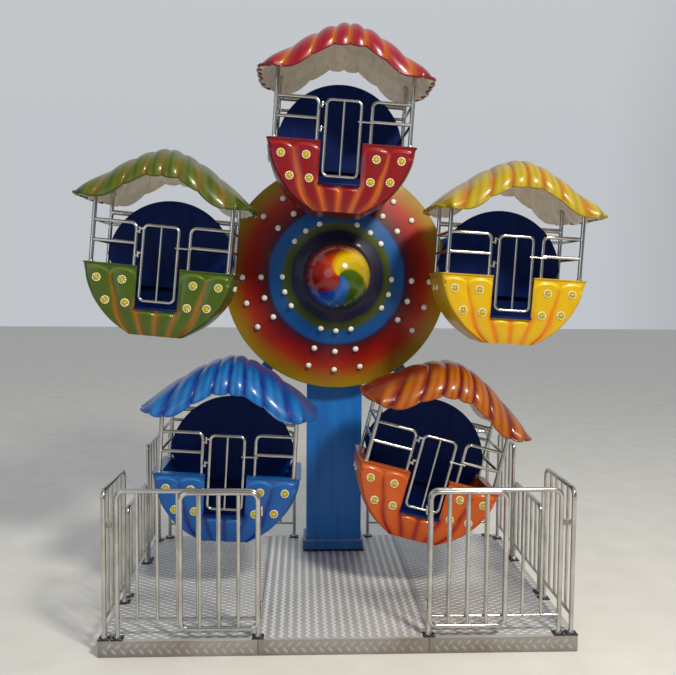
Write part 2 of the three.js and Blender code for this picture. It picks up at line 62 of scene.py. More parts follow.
Array = np.ndarray
Pair = tuple[float, float]
Triple = tuple[float, float, float]
Pairs = tuple[Pair, ...]
Path = Sequence[Sequence[float]]
Grain = tuple[float, float, float, float]
Stops = tuple[tuple[float, str], ...]
Material = bpy.types.Material
Socket = bpy.types.NodeSocket
Tree = bpy.types.NodeTree


class Body(StrEnum):
    """The moving bodies that aren't named after a cabin."""

    BASE = "base"
    WHEEL = "wheel"
    LEFT_GATE = "left_gate"
    RIGHT_GATE = "right_gate"


class Livery(StrEnum):
    """The five cabin colours, as their nodes and bodies are named."""

    RED = "red"
    GREEN = "green"
    BLUE = "blue"
    ORANGE = "orange"
    YELLOW = "yellow"


class Lay(Enum):
    """How the lugs of a checker plate lie."""

    ROWS = "all along the plate, each row shifted by half a pitch"
    CROSSED = "rows at right angles to each other, each shifted by half a pitch"
    COLUMNS = "rows at right angles to each other, one straight above another"


Pattern = tuple[Lay, Pair]

# Colour and node helpers


def linear(colour: str) -> tuple[float, float, float, float]:
    """Turn an sRGB hex colour into Blender's linear values.

    Args:
        colour: Six hex digits, such as "0A326E".
    Returns:
        Linear red, green and blue, with an alpha of one.
    """
    parts = [int(colour[i:i + 2], 16) / 255 for i in (0, 2, 4)]
    red, green, blue = [p / 12.92 if p <= 0.04045 else ((p + 0.055) / 1.055) ** 2.4 for p in parts]
    return red, green, blue, 1.0


def add_node(tree: Tree, kind: str, inputs: dict | None = None, stops: Stops = (),
             out: int | str = 0, **settings: Any) -> Socket:
    """Add one node with its settings, values and links.

    Args:
        tree: The node tree.
        kind: Node type after "ShaderNode", such as "Math".
        inputs: Socket name or number to a value, a hex colour, or an output socket that feeds it.
        stops: Positions and hex colours of a colour ramp.
        out: Which of its outputs to give back.
        settings: Attributes set on the node itself.
    Returns:
        The chosen output socket.
    """
    node = tree.nodes.new(f"ShaderNode{kind}")
    for name, value in settings.items():
        setattr(node, name, value)
    for key, value in (inputs or {}).items():
        if isinstance(value, Socket):
            tree.links.new(value, node.inputs[key])
        else:
            node.inputs[key].default_value = linear(value) if isinstance(value, str) else value
    if stops:
        elements = node.color_ramp.elements
        while len(elements) < len(stops):
            elements.new(1.0)
        for element, (position, colour) in zip(elements, stops):
            element.position = position
            element.color = linear(colour)
    return node.outputs[out]


def start_material(name: str) -> tuple[Material, Callable[..., Socket], Socket]:
    """Make an empty node material.

    Args:
        name: The material's name.
    Returns:
        The material, add_node for its tree, and the place on the piece in metres.
    """
    material = bpy.data.materials.new(name)
    material.use_nodes = True
    material.node_tree.nodes.clear()
    add = partial(add_node, material.node_tree)
    return material, add, add("TexCoord", out="Object")


def end_material(material: Material, surface: dict, grain: Grain | None = None) -> Material:
    """Close a material with its fine grain and its Principled shader.

    Args:
        material: The material with its other nodes.
        surface: The shader's values and links.
        grain: Size in mm and detail of the grain, and the strength and depth in metres of its bump.
    Returns:
        The finished material.
    """
    tree = material.node_tree
    if grain:
        size, detail, strength, depth = grain
        place = add_node(tree, "TexCoord", out="Object")
        noise = add_node(tree, "TexNoise", {"Vector": place, "Scale": per_mm(size), "Detail": detail})
        bump = add_node(tree, "Bump", {"Strength": strength, "Distance": depth, "Height": noise})
        surface = {**surface, "Normal": bump}
    shader = add_node(tree, "BsdfPrincipled", surface)
    tree.links.new(shader, tree.nodes.new("ShaderNodeOutputMaterial").inputs["Surface"])
    return material


def per_mm(size: float) -> float:
    """Noise scale whose features are about this many millimetres across."""
    return 1000.0 / size


# Finishes. Sockets go by number where names are long: a MapRange reads 0 from 1..2 and gives 3..4,
# and a colour Mix goes from 6 to 7 by 0.
BLEND = {"out": 2, "data_type": "RGBA"}


@dataclass(frozen=True)
class GelCoat:
    """Pigmented gel coat on moulded fibreglass, airbrushed along its grooves.

    To the eye: a clear wet gloss over rich colour, with soft sprayed bands, a painted highlight on
    the crests and painted shade in a darker tone. Real orange peel is 1 to 2 mm wide, too fine to show,
    so it is drawn at 9 mm.
    """

    name: str
    colour: str
    groove: str
    # The painted highlight's colour, laid along the lobes' crests.
    crest: str
    # A darker tone, for soft patches and for painted shade.
    deep: str
    peel: Grain = (9.0, 2.0, 0.12, 0.0015)
    cloud_mm: float = 160.0
    wander: float = 0.16
    roughness: Pair = (0.26, 0.42)

    def material(self) -> Material:
        """Build the material: the values place the grooves, a painted highlight and painted shade.

        Returns:
            The finished material.
        """
        material, add, place = start_material(self.name)
        groove, crest, deep = (add("Attribute", attribute_name=value, out="Fac")
                               for value in ("groove", "crest", "deep"))
        cloud = add("TexNoise", {"Vector": place, "Scale": per_mm(self.cloud_mm), "Detail": 3.0})
        # The cloud makes the edge of the sprayed band wander, as a hand-held airbrush does.
        wander = add("MapRange", {0: cloud, 1: 0.3, 2: 0.7, 3: -self.wander, 4: self.wander})
        band = add("Math", {0: groove, 1: wander}, operation="ADD", use_clamp=True)
        sprayed = add("Math", {0: band, 1: groove}, operation="MULTIPLY", use_clamp=True)
        colour = add("Mix", {0: cloud, 6: self.colour, 7: self.deep}, **BLEND)
        # A painted highlight along the crests, painted shade in the darker tone, then the sprayed grooves.
        for share, paint in ((crest, self.crest), (deep, self.deep), (sprayed, self.groove)):
            colour = add("Mix", {0: share, 6: colour, 7: paint}, **BLEND)
        rough = add("MapRange", {0: cloud, 3: self.roughness[0], 4: self.roughness[1]})
        return end_material(material, {
            "Base Color": colour, "Roughness": rough, "IOR": 1.5, "Specular IOR Level": 0.32,
            "Coat Weight": 0.28, "Coat Roughness": 0.07}, self.peel)


@dataclass(frozen=True)
class TonedFinish:
    """A finish with one tone, duller in soft patches, over a fine grain.

    It serves the plainer stuffs. The comment over each one says what it gives the eye.
    """

    name: str
    colour: str
    dull: str
    patch_mm: float
    detail: float
    surface: tuple[tuple[str, float], ...]
    grain: Grain | None = None
    spread: Pair = (0.3, 0.7)
    patch_roughness: float = 0.5
    gloss: Pair | None = None

    def material(self) -> Material:
        """Build the material: patches that set the tone, and the gloss where it isn't even.

        Returns:
            The finished material.
        """
        material, add, place = start_material(self.name)
        patch = add("TexNoise", {"Vector": place, "Scale": per_mm(self.patch_mm),
                                 "Detail": self.detail, "Roughness": self.patch_roughness})
        colour = add("ValToRGB", {0: patch}, ((self.spread[0], self.dull), (self.spread[1], self.colour)))
        surface = dict(self.surface)
        if self.gloss:
            surface["Roughness"] = add("MapRange", {0: patch, 1: 0.3, 2: 0.7, 3: self.gloss[0],
                                                    4: self.gloss[1]})
        return end_material(material, {"Base Color": colour, **surface}, self.grain)


@dataclass(frozen=True)
class TreadPlate:
    """Rolled aluminium checker plate, long in the open.

    To the eye: lugs near white over a duller plate, with brown dirt between them. Their white is partly
    polish from shoes and partly a painted highlight. The mill grain is under 1 mm, drawn at 8 mm.
    """

    name: str
    plate: str = "B0B2B2"
    # Near white: polish and a painted highlight.
    lug: str = "FAFAF9"
    dirt: str = "6A5844"
    dirt_mm: float = 420.0
    grain: Grain = (8.0, 3.0, 0.15, 0.001)
    dirty: float = 0.35
    fascia_dirt: float = 0.5
    metallic: Pair = (0.2, 0.05)
    roughness: Pair = (0.5, 0.3)

    def material(self) -> Material:
        """Build the material: the "lug" value paints polish and a highlight, and keeps the dirt low.

        Returns:
            The finished material.
        """
        material, add, place = start_material(self.name)
        lug, fascia = (add("Attribute", attribute_name=value, out="Fac") for value in ("lug", "fascia"))
        broad = add("TexNoise", {"Vector": place, "Scale": per_mm(self.dirt_mm), "Detail": 6.0,
                                 "Roughness": 0.6})
        # The "lug" value paints the lugs near white: polish from shoes and a painted highlight.
        metal = add("Mix", {0: lug, 6: self.plate, 7: self.lug}, **BLEND)
        soil = add("MapRange", {0: broad, 1: 0.45, 2: 0.75, 3: 0.0, 4: self.dirty})
        more = add("Math", {0: fascia, 1: self.fascia_dirt, 2: soil}, operation="MULTIPLY_ADD",
                   use_clamp=True)
        keep = add("Math", {0: lug, 1: -0.6, 2: 1.0}, operation="MULTIPLY_ADD", use_clamp=True)
        settled = add("Math", {0: more, 1: keep}, operation="MULTIPLY", use_clamp=True)
        colour = add("Mix", {0: settled, 6: metal, 7: self.dirt}, **BLEND)
        shine = add("MapRange", {0: settled, 3: self.metallic[0], 4: self.metallic[1]})
        rough = add("MapRange", {0: lug, 3: self.roughness[0], 4: self.roughness[1]})
        return end_material(material, {"Base Color": colour, "Metallic": shine, "Roughness": rough},
                            self.grain)


@dataclass(frozen=True)
class MachineEnamel:
    """Air-drying enamel sprayed on fabricated steel or plywood.

    To the eye: semi-gloss and even, with long soft runs, grime in patches and pale worn edges.
    """

    name: str
    colour: str
    deep: str
    grime: str = "1B2733"
    roughness: float = 0.34
    sheen: float = 0.35
    run_mm: float = 55.0
    run_stretch: float = 0.08
    grime_mm: float = 260.0
    chipped: str = "9DA6AC"

    def material(self) -> Material:
        """Build the material: vertical runs, grime in patches and worn bright edges.

        Returns:
            The finished material.
        """
        material, add, place = start_material(self.name)
        stretch = add("Mapping", {"Vector": place, "Scale": (1.0, 1.0, self.run_stretch)})
        runs = add("TexNoise", {"Vector": stretch, "Scale": per_mm(self.run_mm), "Detail": 3.0})
        patch = add("TexNoise", {"Vector": place, "Scale": per_mm(self.grime_mm), "Detail": 7.0,
                                 "Roughness": 0.7})
        worn = add("Attribute", attribute_name="worn", out="Fac")
        paint = add("ValToRGB", {0: runs}, ((0.28, self.deep), (0.66, self.colour)))
        soil = add("MapRange", {0: patch, 1: 0.56, 2: 0.82, 3: 0.0, 4: 0.5})
        chips = add("Math", {0: worn, 1: patch}, operation="MULTIPLY", use_clamp=True)
        for share, colour in ((soil, self.grime), (chips, self.chipped)):
            paint = add("Mix", {0: share, 6: paint, 7: colour}, **BLEND)
        rough = add("MapRange", {0: patch, 3: self.roughness - 0.08, 4: self.roughness + 0.2})
        bump = add("Bump", {"Strength": 0.1, "Distance": 0.002, "Height": runs})
        return end_material(material, {"Base Color": paint, "Roughness": rough, "Normal": bump,
                                       "IOR": 1.5, "Specular IOR Level": self.sheen})


@dataclass(frozen=True)
class RingedSpray:
    """Lacquer on the domed fibreglass face, airbrushed in rings.

    To the eye: satin, with each colour fading softly into the next. Its orange peel is drawn at
    11 mm, as the real 1 to 2 mm is too fine to show.
    """

    name: str
    rings: Stops
    radius: float
    drift_mm: float = 240.0
    wander: float = 0.008
    peel: Grain = (11.0, 2.0, 0.1, 0.0015)

    def material(self) -> Material:
        """Build the material: a ramp over the distance from the axle, with drifting edges.

        Returns:
            The finished material.
        """
        material, add, place = start_material(self.name)
        flat = add("Mapping", {"Vector": place, "Scale": (1.0, 0.0, 1.0)})
        reach = add("VectorMath", {0: flat}, out="Value", operation="LENGTH")
        drift = add("TexNoise", {"Vector": place, "Scale": per_mm(self.drift_mm), "Detail": 3.0})
        wander = add("MapRange", {0: drift, 1: 0.25, 2: 0.75, 3: -self.wander, 4: self.wander})
        moved = add("Math", {0: reach, 1: wander}, operation="ADD")
        share = add("Math", {0: moved, 1: self.radius}, operation="DIVIDE", use_clamp=True)
        colour = add("ValToRGB", {0: share},
                     tuple((radius / self.radius, ring) for radius, ring in self.rings))
        mottle = add("MapRange", {0: drift, 1: 0.3, 2: 0.7, 3: 0.86, 4: 1.06})
        toned = add("HueSaturation", {"Color": colour, "Value": mottle})
        return end_material(material, {
            "Base Color": toned, "Roughness": 0.48, "IOR": 1.5, "Specular IOR Level": 0.3,
            "Coat Weight": 0.12, "Coat Roughness": 0.1}, self.peel)


@dataclass(frozen=True)
class SwirlSpray:
    """Polished lacquer on the ball, airbrushed in wedges that curl into its middle.

    To the eye: a glossy toy ball, with a hard bright highlight.
    """

    name: str
    wedges: Stops
    curl: float = -1.75
    radius: float = 0.263

    def material(self) -> Material:
        """Build the material: a ramp over the angle round the axle, turned more near the middle.

        Returns:
            The finished material.
        """
        material, add, place = start_material(self.name)
        axes = add("SeparateXYZ", {0: place}).node.outputs
        flat = add("Mapping", {"Vector": place, "Scale": (1.0, 0.0, 1.0)})
        reach = add("VectorMath", {0: flat}, out="Value", operation="LENGTH")
        angle = add("Math", {0: axes["Z"], 1: axes["X"]}, operation="ARCTAN2")
        near = add("Math", {0: reach, 1: self.radius}, operation="DIVIDE", use_clamp=True)
        inward = add("Math", {0: 1.0, 1: near}, operation="SUBTRACT")
        turned = add("Math", {0: inward, 1: self.curl, 2: angle}, operation="MULTIPLY_ADD")
        whole = add("Math", {0: turned, 1: 2 * math.pi}, operation="DIVIDE")
        share = add("Math", {0: whole, 1: 0.0, 2: 1.0}, operation="WRAP")
        colour = add("ValToRGB", {0: share}, self.wedges)
        return end_material(material, {
            "Base Color": colour, "Roughness": 0.18, "IOR": 1.5, "Specular IOR Level": 0.3,
            "Coat Weight": 0.5, "Coat Roughness": 0.04})


@dataclass(frozen=True)
class Shop:
    """Every finish on the ride, made once and shared by its pieces."""

    steel: Material
    tread: Material
    cobalt: Material
    navy: Material
    face: Material
    ball: Material
    opal: Material
    petal: Material
    amber: Material
    rubber: Material
    zinc: Material
    layup: Material
    shells: dict[Livery, Material]
    roofs: dict[Livery, Material]


# Radii in metres of the sprayed rings, from the ball outwards.
RINGS = ((0.30, "0A0828"), (0.365, "100A34"), (0.385, "30400A"), (0.43, "48560A"), (0.462, "145490"),
         (0.548, "0E5098"), (0.575, "36102C"), (0.61, "5E060E"), (0.69, "8E0C08"), (0.77, "A82A04"),
         (0.84, "A05E08"), (0.94, "988006"))
# Where each colour starts round the ball, as shares of a turn from the right, anticlockwise.
WEDGES = ((0.0, "C09E06"), (0.09, "CCB008"), (0.15, "C48008"), (0.185, "AC3C06"), (0.30, "8A1604"),
          (0.52, "700608"), (0.545, "0E2E82"), (0.62, "0E52A8"), (0.70, "185C92"), (0.73, "2C4806"),
          (0.90, "445A04"), (0.93, "AC9606"))

# Gel coats of each tub and canopy: the colour, its grooves, its painted highlight on the crests and
# a darker tone, for soft patches and painted shade.
SHELL_COATS = {
    Livery.RED: ("8C0510", "B4540A", "A20A18", "60030A"),
    Livery.GREEN: ("4A6004", "8C580A", "5E7608", "304402"),
    Livery.BLUE: ("0A5CA8", "082C7A", "1676C0", "07448A"),
    Livery.ORANGE: ("C85A06", "8E1406", "D66E0E", "B04406"),
    Livery.YELLOW: ("D6B200", "D27406", "E2C41A", "C09400"),
}
ROOF_COATS = {
    Livery.RED: ("84051C", "A6560A", "960C25", "5A0411"),
    Livery.GREEN: ("3C5005", "725C09", "5B6409", "283803"),
    Livery.BLUE: ("0A5CA6", "062E82", "1E77BC", "063D84"),
    Livery.ORANGE: ("A45006", "670A06", "B2690E", "691504"),
    Livery.YELLOW: ("A08A03", "A86606", "B4A21E", "8A6C03"),
}

# Drawn and polished stainless tube. To the eye: bright and mirror-like, a little dulled by handling.
# The die lines are hairlines, drawn 30 mm wide as a faint waver in the reflections.
STAINLESS = TonedFinish("polished_stainless_tube", "C8C7C3", "ADABA5", 160.0, 4.0, (("Metallic", 1.0),),
                        (30.0, 2.0, 0.03, 0.001), spread=(0.32, 0.58), gloss=(0.24, 0.17))
# Zinc-plated steel. To the eye: a pale, slightly warm metal with a dull bloom in small patches.
ZINC = TonedFinish("zinc_plated_steel", "B9B7AE", "7E7A70", 14.0, 3.0,
                   (("Metallic", 1.0), ("Roughness", 0.42)))
# Hand-laid fibreglass under a brushed flow coat. To the eye: matt, cream and slightly blotchy. Its
# glass strands are about 1 mm wide, drawn at 5 mm.
FLOW_COAT = TonedFinish("brushed_flow_coat", "F2EADB", "DED2BD", 70.0, 5.0, (("Roughness", 0.72),),
                        (5.0, 4.0, 0.35, 0.002), spread=(0.3, 0.62), patch_roughness=0.65)
# Power-floated screed of the studio. To the eye: pale and matt, with broad faint clouds.
SCREED = TonedFinish("pale_studio_floor", "E2E0DA", "DAD8D2", 333.3, 4.0, (("Roughness", 0.8),))


def moulded(name: str, colour: str, shade: str, roughness: float, clear: float = 0.0) -> Material:
    """Make an injection-moulded plastic or rubber.

    To the eye: one even colour. The moulded grain is about 0.5 mm, drawn at 6 mm.

    Args:
        name: The material's name.
        colour: Its colour.
        shade: A close darker tone.
        roughness: Its roughness.
        clear: How much light it lets in.
    Returns:
        The material.
    """
    surface = (("Roughness", roughness), ("IOR", 1.49), ("Subsurface Weight", clear),
               ("Subsurface Scale", 0.01))
    return TonedFinish(name, colour, shade, 6.0, 2.0, surface, (6.0, 2.0, 0.08, 0.0006)).material()


def open_shop() -> Shop:
    """Make every material once.

    Returns:
        The finishes.
    """
    return Shop(
        steel=STAINLESS.material(),
        tread=TreadPlate("rolled_checker_plate").material(),
        cobalt=MachineEnamel("cobalt_machine_enamel", "1476CC", "0F60B6").material(),
        navy=MachineEnamel("navy_board_enamel", "042060", "03184C", "041430", 0.4, 0.12).material(),
        face=RingedSpray("airbrushed_ring_lacquer", RINGS, RINGS[-1][0]).material(),
        ball=SwirlSpray("airbrushed_swirl_lacquer", WEDGES).material(),
        opal=moulded("opal_polycarbonate", "F4F2EC", "DCDAD2", 0.22, 0.2),
        petal=moulded("clear_lamp_polycarbonate", "DCCB3C", "B8A41C", 0.25, 0.15),
        amber=moulded("amber_lamp_polycarbonate", "6E6010", "4C420C", 0.2, 0.1),
        rubber=moulded("black_rubber", "24221F", "121110", 0.6),
        zinc=ZINC.material(),
        layup=FLOW_COAT.material(),
        shells={livery: GelCoat(f"{livery}_gel_coat", *coat).material()
                for livery, coat in SHELL_COATS.items()},
        roofs={livery: GelCoat(f"{livery}_roof_gel_coat", *coat).material()
               for livery, coat in ROOF_COATS.items()},
    )


# Mesh work


class Patch:
    """Points, faces, painted values and material slots gathered for one piece."""

    def __init__(self) -> None:
        """Start empty."""
        self.points: list[Array] = []
        self.faces: list[tuple[int, ...]] = []
        self.slots: list[int] = []
        self.values: dict[str, list[Array]] = {}
        self.count = 0

    def add(self, points: Any, faces: Sequence[Sequence[int]], slot: int | Sequence[int] = 0,
            **values: Any) -> None:
        """Add points and faces.

        Args:
            points: Point coordinates, one row each.
            faces: Point indices of each face, within these points.
            slot: Material slot of the faces, one number or one for each face.
            values: Painted values by name, one number or one for each point.
        """
        block = np.asarray(points, float).reshape(-1, 3)
        for name in set(self.values) | set(values):
            held = self.values.setdefault(name, [np.zeros(self.count)] if self.count else [])
            held.append(np.broadcast_to(np.asarray(values.get(name, 0.0), float), len(block)))
        self.faces.extend(tuple(i + self.count for i in face) for face in faces)
        self.slots.extend([slot] * len(faces) if isinstance(slot, int) else slot)
        self.points.append(block)
        self.count += len(block)

    def grid(self, points: Array, wrap: bool = False, slot: int | Sequence[int] = 0,
             keep: Array | None = None, **values: Any) -> None:
        """Add a sheet of quads.

        Args:
            points: Rows by columns by 3. Its face normals follow row direction x column direction.
            wrap: Whether the last column joins the first.
            slot: Material slot, one number or one for each quad.
            keep: Which quads to make, rows by columns.
            values: Painted values by name, rows by columns.
        """
        rows, columns = points.shape[:2]
        index = np.arange(rows * columns).reshape(rows, columns)
        if wrap:
            index = np.hstack([index, index[:, :1]])
        quads = np.stack([index[:-1, :-1], index[1:, :-1], index[1:, 1:], index[:-1, 1:]], axis=-1)
        faces = quads.reshape(-1, 4) if keep is None else quads[keep]
        self.add(points, faces.tolist(), slot,
                 **{name: np.reshape(value, -1) for name, value in values.items()})

    def rings(self, rings: Sequence[Array], sides: int, slot: int, **values: Any) -> None:
        """Add a closed body made of rings, with flat ends.

        Args:
            rings: The rings' points, in order along the body.
            sides: Points in each ring.
            slot: Material slot.
            values: Painted values for all its points.
        """
        last = (len(rings) - 1) * sides
        faces = [(r + s, r + (s + 1) % sides, r + sides + (s + 1) % sides, r + sides + s)
                 for r in range(0, last, sides) for s in range(sides)]
        self.add(rings, faces + [range(sides)[::-1], range(last, last + sides)], slot, **values)

    def tube(self, path: Path, radius: float, sides: int = 12, slot: int = 0,
             **values: Any) -> None:
        """Add a round bar swept along a path, with flat ends.

        Args:
            path: The points of its middle line.
            radius: The bar's radius.
            sides: Number of steps round.
            slot: Material slot.
            values: Painted values for all its points.
        """
        way = np.asarray(path, float)
        steps = np.diff(way, axis=0)
        steps /= np.linalg.norm(steps, axis=1)[:, None]
        tangents = np.vstack([steps[:1], steps[:-1] + steps[1:], steps[-1:]])
        tangents /= np.linalg.norm(tangents, axis=1)[:, None]
        side = np.cross(tangents[0], [0.0, 0.0, 1.0] if abs(tangents[0][2]) < 0.9 else [1.0, 0.0, 0.0])
        angles = (turns(sides) + math.pi / sides)[:, None]
        rings = []
        for tangent, centre in zip(tangents, way):
            side = side - tangent * side.dot(tangent)
            side /= np.linalg.norm(side)
            other = np.cross(tangent, side)
            rings.append(centre + radius * (np.cos(angles) * side + np.sin(angles) * other))
        self.rings(rings, sides, slot, **values)

    def turned(self, profile: Path, centre: Sequence[float],
               axis: Sequence[float], sides: int = 24, slot: int = 0, **values: Any) -> None:
        """Add a body of revolution.

        Args:
            profile: Radius and height along the axis, from the bottom to the top of the outside.
            centre: Where the axis starts.
            axis: Direction of the axis.
            sides: Number of steps round.
            slot: Material slot.
            values: Painted values for all its points.
        """
        up = Vector(axis).normalized()
        side = up.orthogonal().normalized()
        other = up.cross(side)
        angles = turns(sides)[:, None]
        round_ = np.cos(angles) * np.array(side) + np.sin(angles) * np.array(other)
        rings = [np.asarray(centre) + r * round_ + h * np.array(up) for r, h in profile]
        self.rings(rings, sides, slot, **values)

    def box(self, low: Sequence[float], high: Sequence[float], edge: float = 0.002, slot: int = 0,
            **values: Any) -> None:
        """Add a box whose edges are chamfered.

        Args:
            low: One corner.
            high: The opposite corner.
            edge: Width of the chamfers.
            slot: Material slot.
            values: Painted values, one number or one for each of its 24 points, which come three to
                a corner: first those of the faces across x, y and z.
        """
        low_, high_ = np.minimum(low, high), np.maximum(low, high)
        points, kin = [], []
        for ends in product((-1, 1), repeat=3):
            corner = np.where(np.array(ends) > 0, high_, low_)
            for axis in range(3):
                point = corner - edge * np.array(ends)
                point[axis] = corner[axis]
                points.append(point)
                kin.append((ends, axis))
        faces = []
        # One face looks each way: 6 sides, 12 chamfers and 8 corners.
        for way in product((-1, 0, 1), repeat=3):
            face = [i for i, (ends, axis) in enumerate(kin)
                    if way[axis] and all(w in (0, end) for w, end in zip(way, ends))]
            if face:
                side = Vector(way).orthogonal()
                other = Vector(way).cross(side)
                middle = np.mean([points[i] for i in face], axis=0)
                face.sort(key=lambda i: math.atan2(other.normalized().dot(points[i] - middle),
                                                   side.normalized().dot(points[i] - middle)))
                faces.append(face)
        self.add(points, faces, slot, **values)

    def bolt(self, at: Sequence[float], axis: Sequence[float], radius: float = 0.01,
             slot: int = 0) -> None:
        """Add a washer with a hexagon head and a domed stud end.

        Args:
            at: Where the washer sits.
            axis: The way the bolt points.
            radius: The head's radius.
            slot: Material slot.
        """
        washer = ((1.5, 0.0), (1.5, 0.2), (1.42, 0.26))
        head = ((1.0, 0.2), (1.0, 0.85), (0.85, 1.0))
        stud = ((0.5, 0.9), (0.5, 1.3), (0.3, 1.42))
        for profile, sides in ((washer, 16), (head, 6), (stud, 10)):
            self.turned([(r * radius, h * radius) for r, h in profile], at, axis, sides, slot)

    def settle(self, name: str, body: str, nodes: Sequence[str],
               materials: Sequence[Material], crease: float = 38.0, place: Matrix | None = None) -> None:
        """Make the object, hang it on its body and let it stand for its CAD nodes.

        Args:
            name: The piece's name.
            body: The body it rides on, or nothing for a piece of the studio.
            nodes: The CAD nodes that it replaces.
            materials: The materials in slot order.
            crease: Edges sharper than this many degrees stay sharp.
            place: Where the piece's own frame stands.
        """
        mesh = bpy.data.meshes.new(name)
        mesh.from_pydata(np.vstack(self.points).tolist(), [], self.faces)
        for material in materials:
            mesh.materials.append(material)
        mesh.polygons.foreach_set("material_index", self.slots)
        for title, parts in self.values.items():
            layer = mesh.attributes.new(title, "FLOAT", "POINT")
            layer.data.foreach_set("value", np.concatenate(parts))
        mesh.shade_smooth()
        mesh.set_sharp_from_angle(angle=math.radians(crease))
        mesh.update()
        made = bpy.data.objects.new(name, mesh)
        bpy.context.scene.collection.objects.link(made)
        if place is not None:
            mesh.transform(place.to_3x3().to_4x4())
            made.location = place.to_translation()
        if not body:
            return
        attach(made, str(body))
        if nodes:
            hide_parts(*nodes)
        log.info("%s rides on %s, %d faces", name, body, len(self.faces))


def joint_named(name: str) -> dict:
    """The frame's row of one joint."""
    return next(joint for joint in frame["joints"] if joint["name"] == name)


def bent(corners: Path, bend: float, steps: int = 6) -> list[Array]:
    """Round the inner corners of a path.

    Args:
        corners: The path's corner points.
        bend: Radius of each bend.
        steps: Chords in each bend.
    Returns:
        The points of the rounded path.
    """
    points = [np.asarray(corner, float) for corner in corners]
    path = [points[0]]
    for before, here, after in zip(points, points[1:], points[2:]):
        back = (before - here) / np.linalg.norm(before - here)
        on = (after - here) / np.linalg.norm(after - here)
        half = math.acos(max(-1.0, min(1.0, float(back.dot(on))))) / 2
        reach = bend / math.tan(half)
        middle = here + (back + on) / np.linalg.norm(back + on) * (bend / math.sin(half))
        start, end = here + back * reach - middle, here + on * reach - middle
        sweep = math.pi - 2 * half
        for a in np.arange(steps + 1) / steps:
            turned = (math.sin((1 - a) * sweep) * start + math.sin(a * sweep) * end) / math.sin(sweep)
            path.append(middle + turned)
    path.append(points[-1])
    return path


def curve(at: float, places: Sequence[float], values: Sequence[float]) -> float:
    """Read a smooth curve through points, its slopes taken from their neighbours.

    Args:
        at: Where to read it.
        places: Rising positions of the points.
        values: The curve's values there.
    Returns:
        The value at that place.
    """
    xs, ys = np.asarray(places, float), np.asarray(values, float)
    at = min(max(at, xs[0]), xs[-1])
    slopes = np.gradient(ys, xs)
    i = min(int(np.searchsorted(xs, at, side="right")) - 1, len(xs) - 2)
    span = xs[i + 1] - xs[i]
    t = (at - xs[i]) / span
    rise = (2 * t**3 - 3 * t**2 + 1) * ys[i] + (3 * t**2 - 2 * t**3) * ys[i + 1]
    bend = (t**3 - 2 * t**2 + t) * slopes[i] + (t**3 - t**2) * slopes[i + 1]
    return float(rise + span * bend)


def turns(count: int) -> Array:
    """Even angles round one whole turn."""
    return 2 * math.pi * np.arange(count) / count


def smooth(value: Array | float, low: float, high: float) -> Array:
    """Ease from zero at low to one at high."""
    share = np.clip((np.asarray(value, float) - low) / (high - low), 0.0, 1.0)
    return share * share * (3 - 2 * share)


# The platform, column and fences


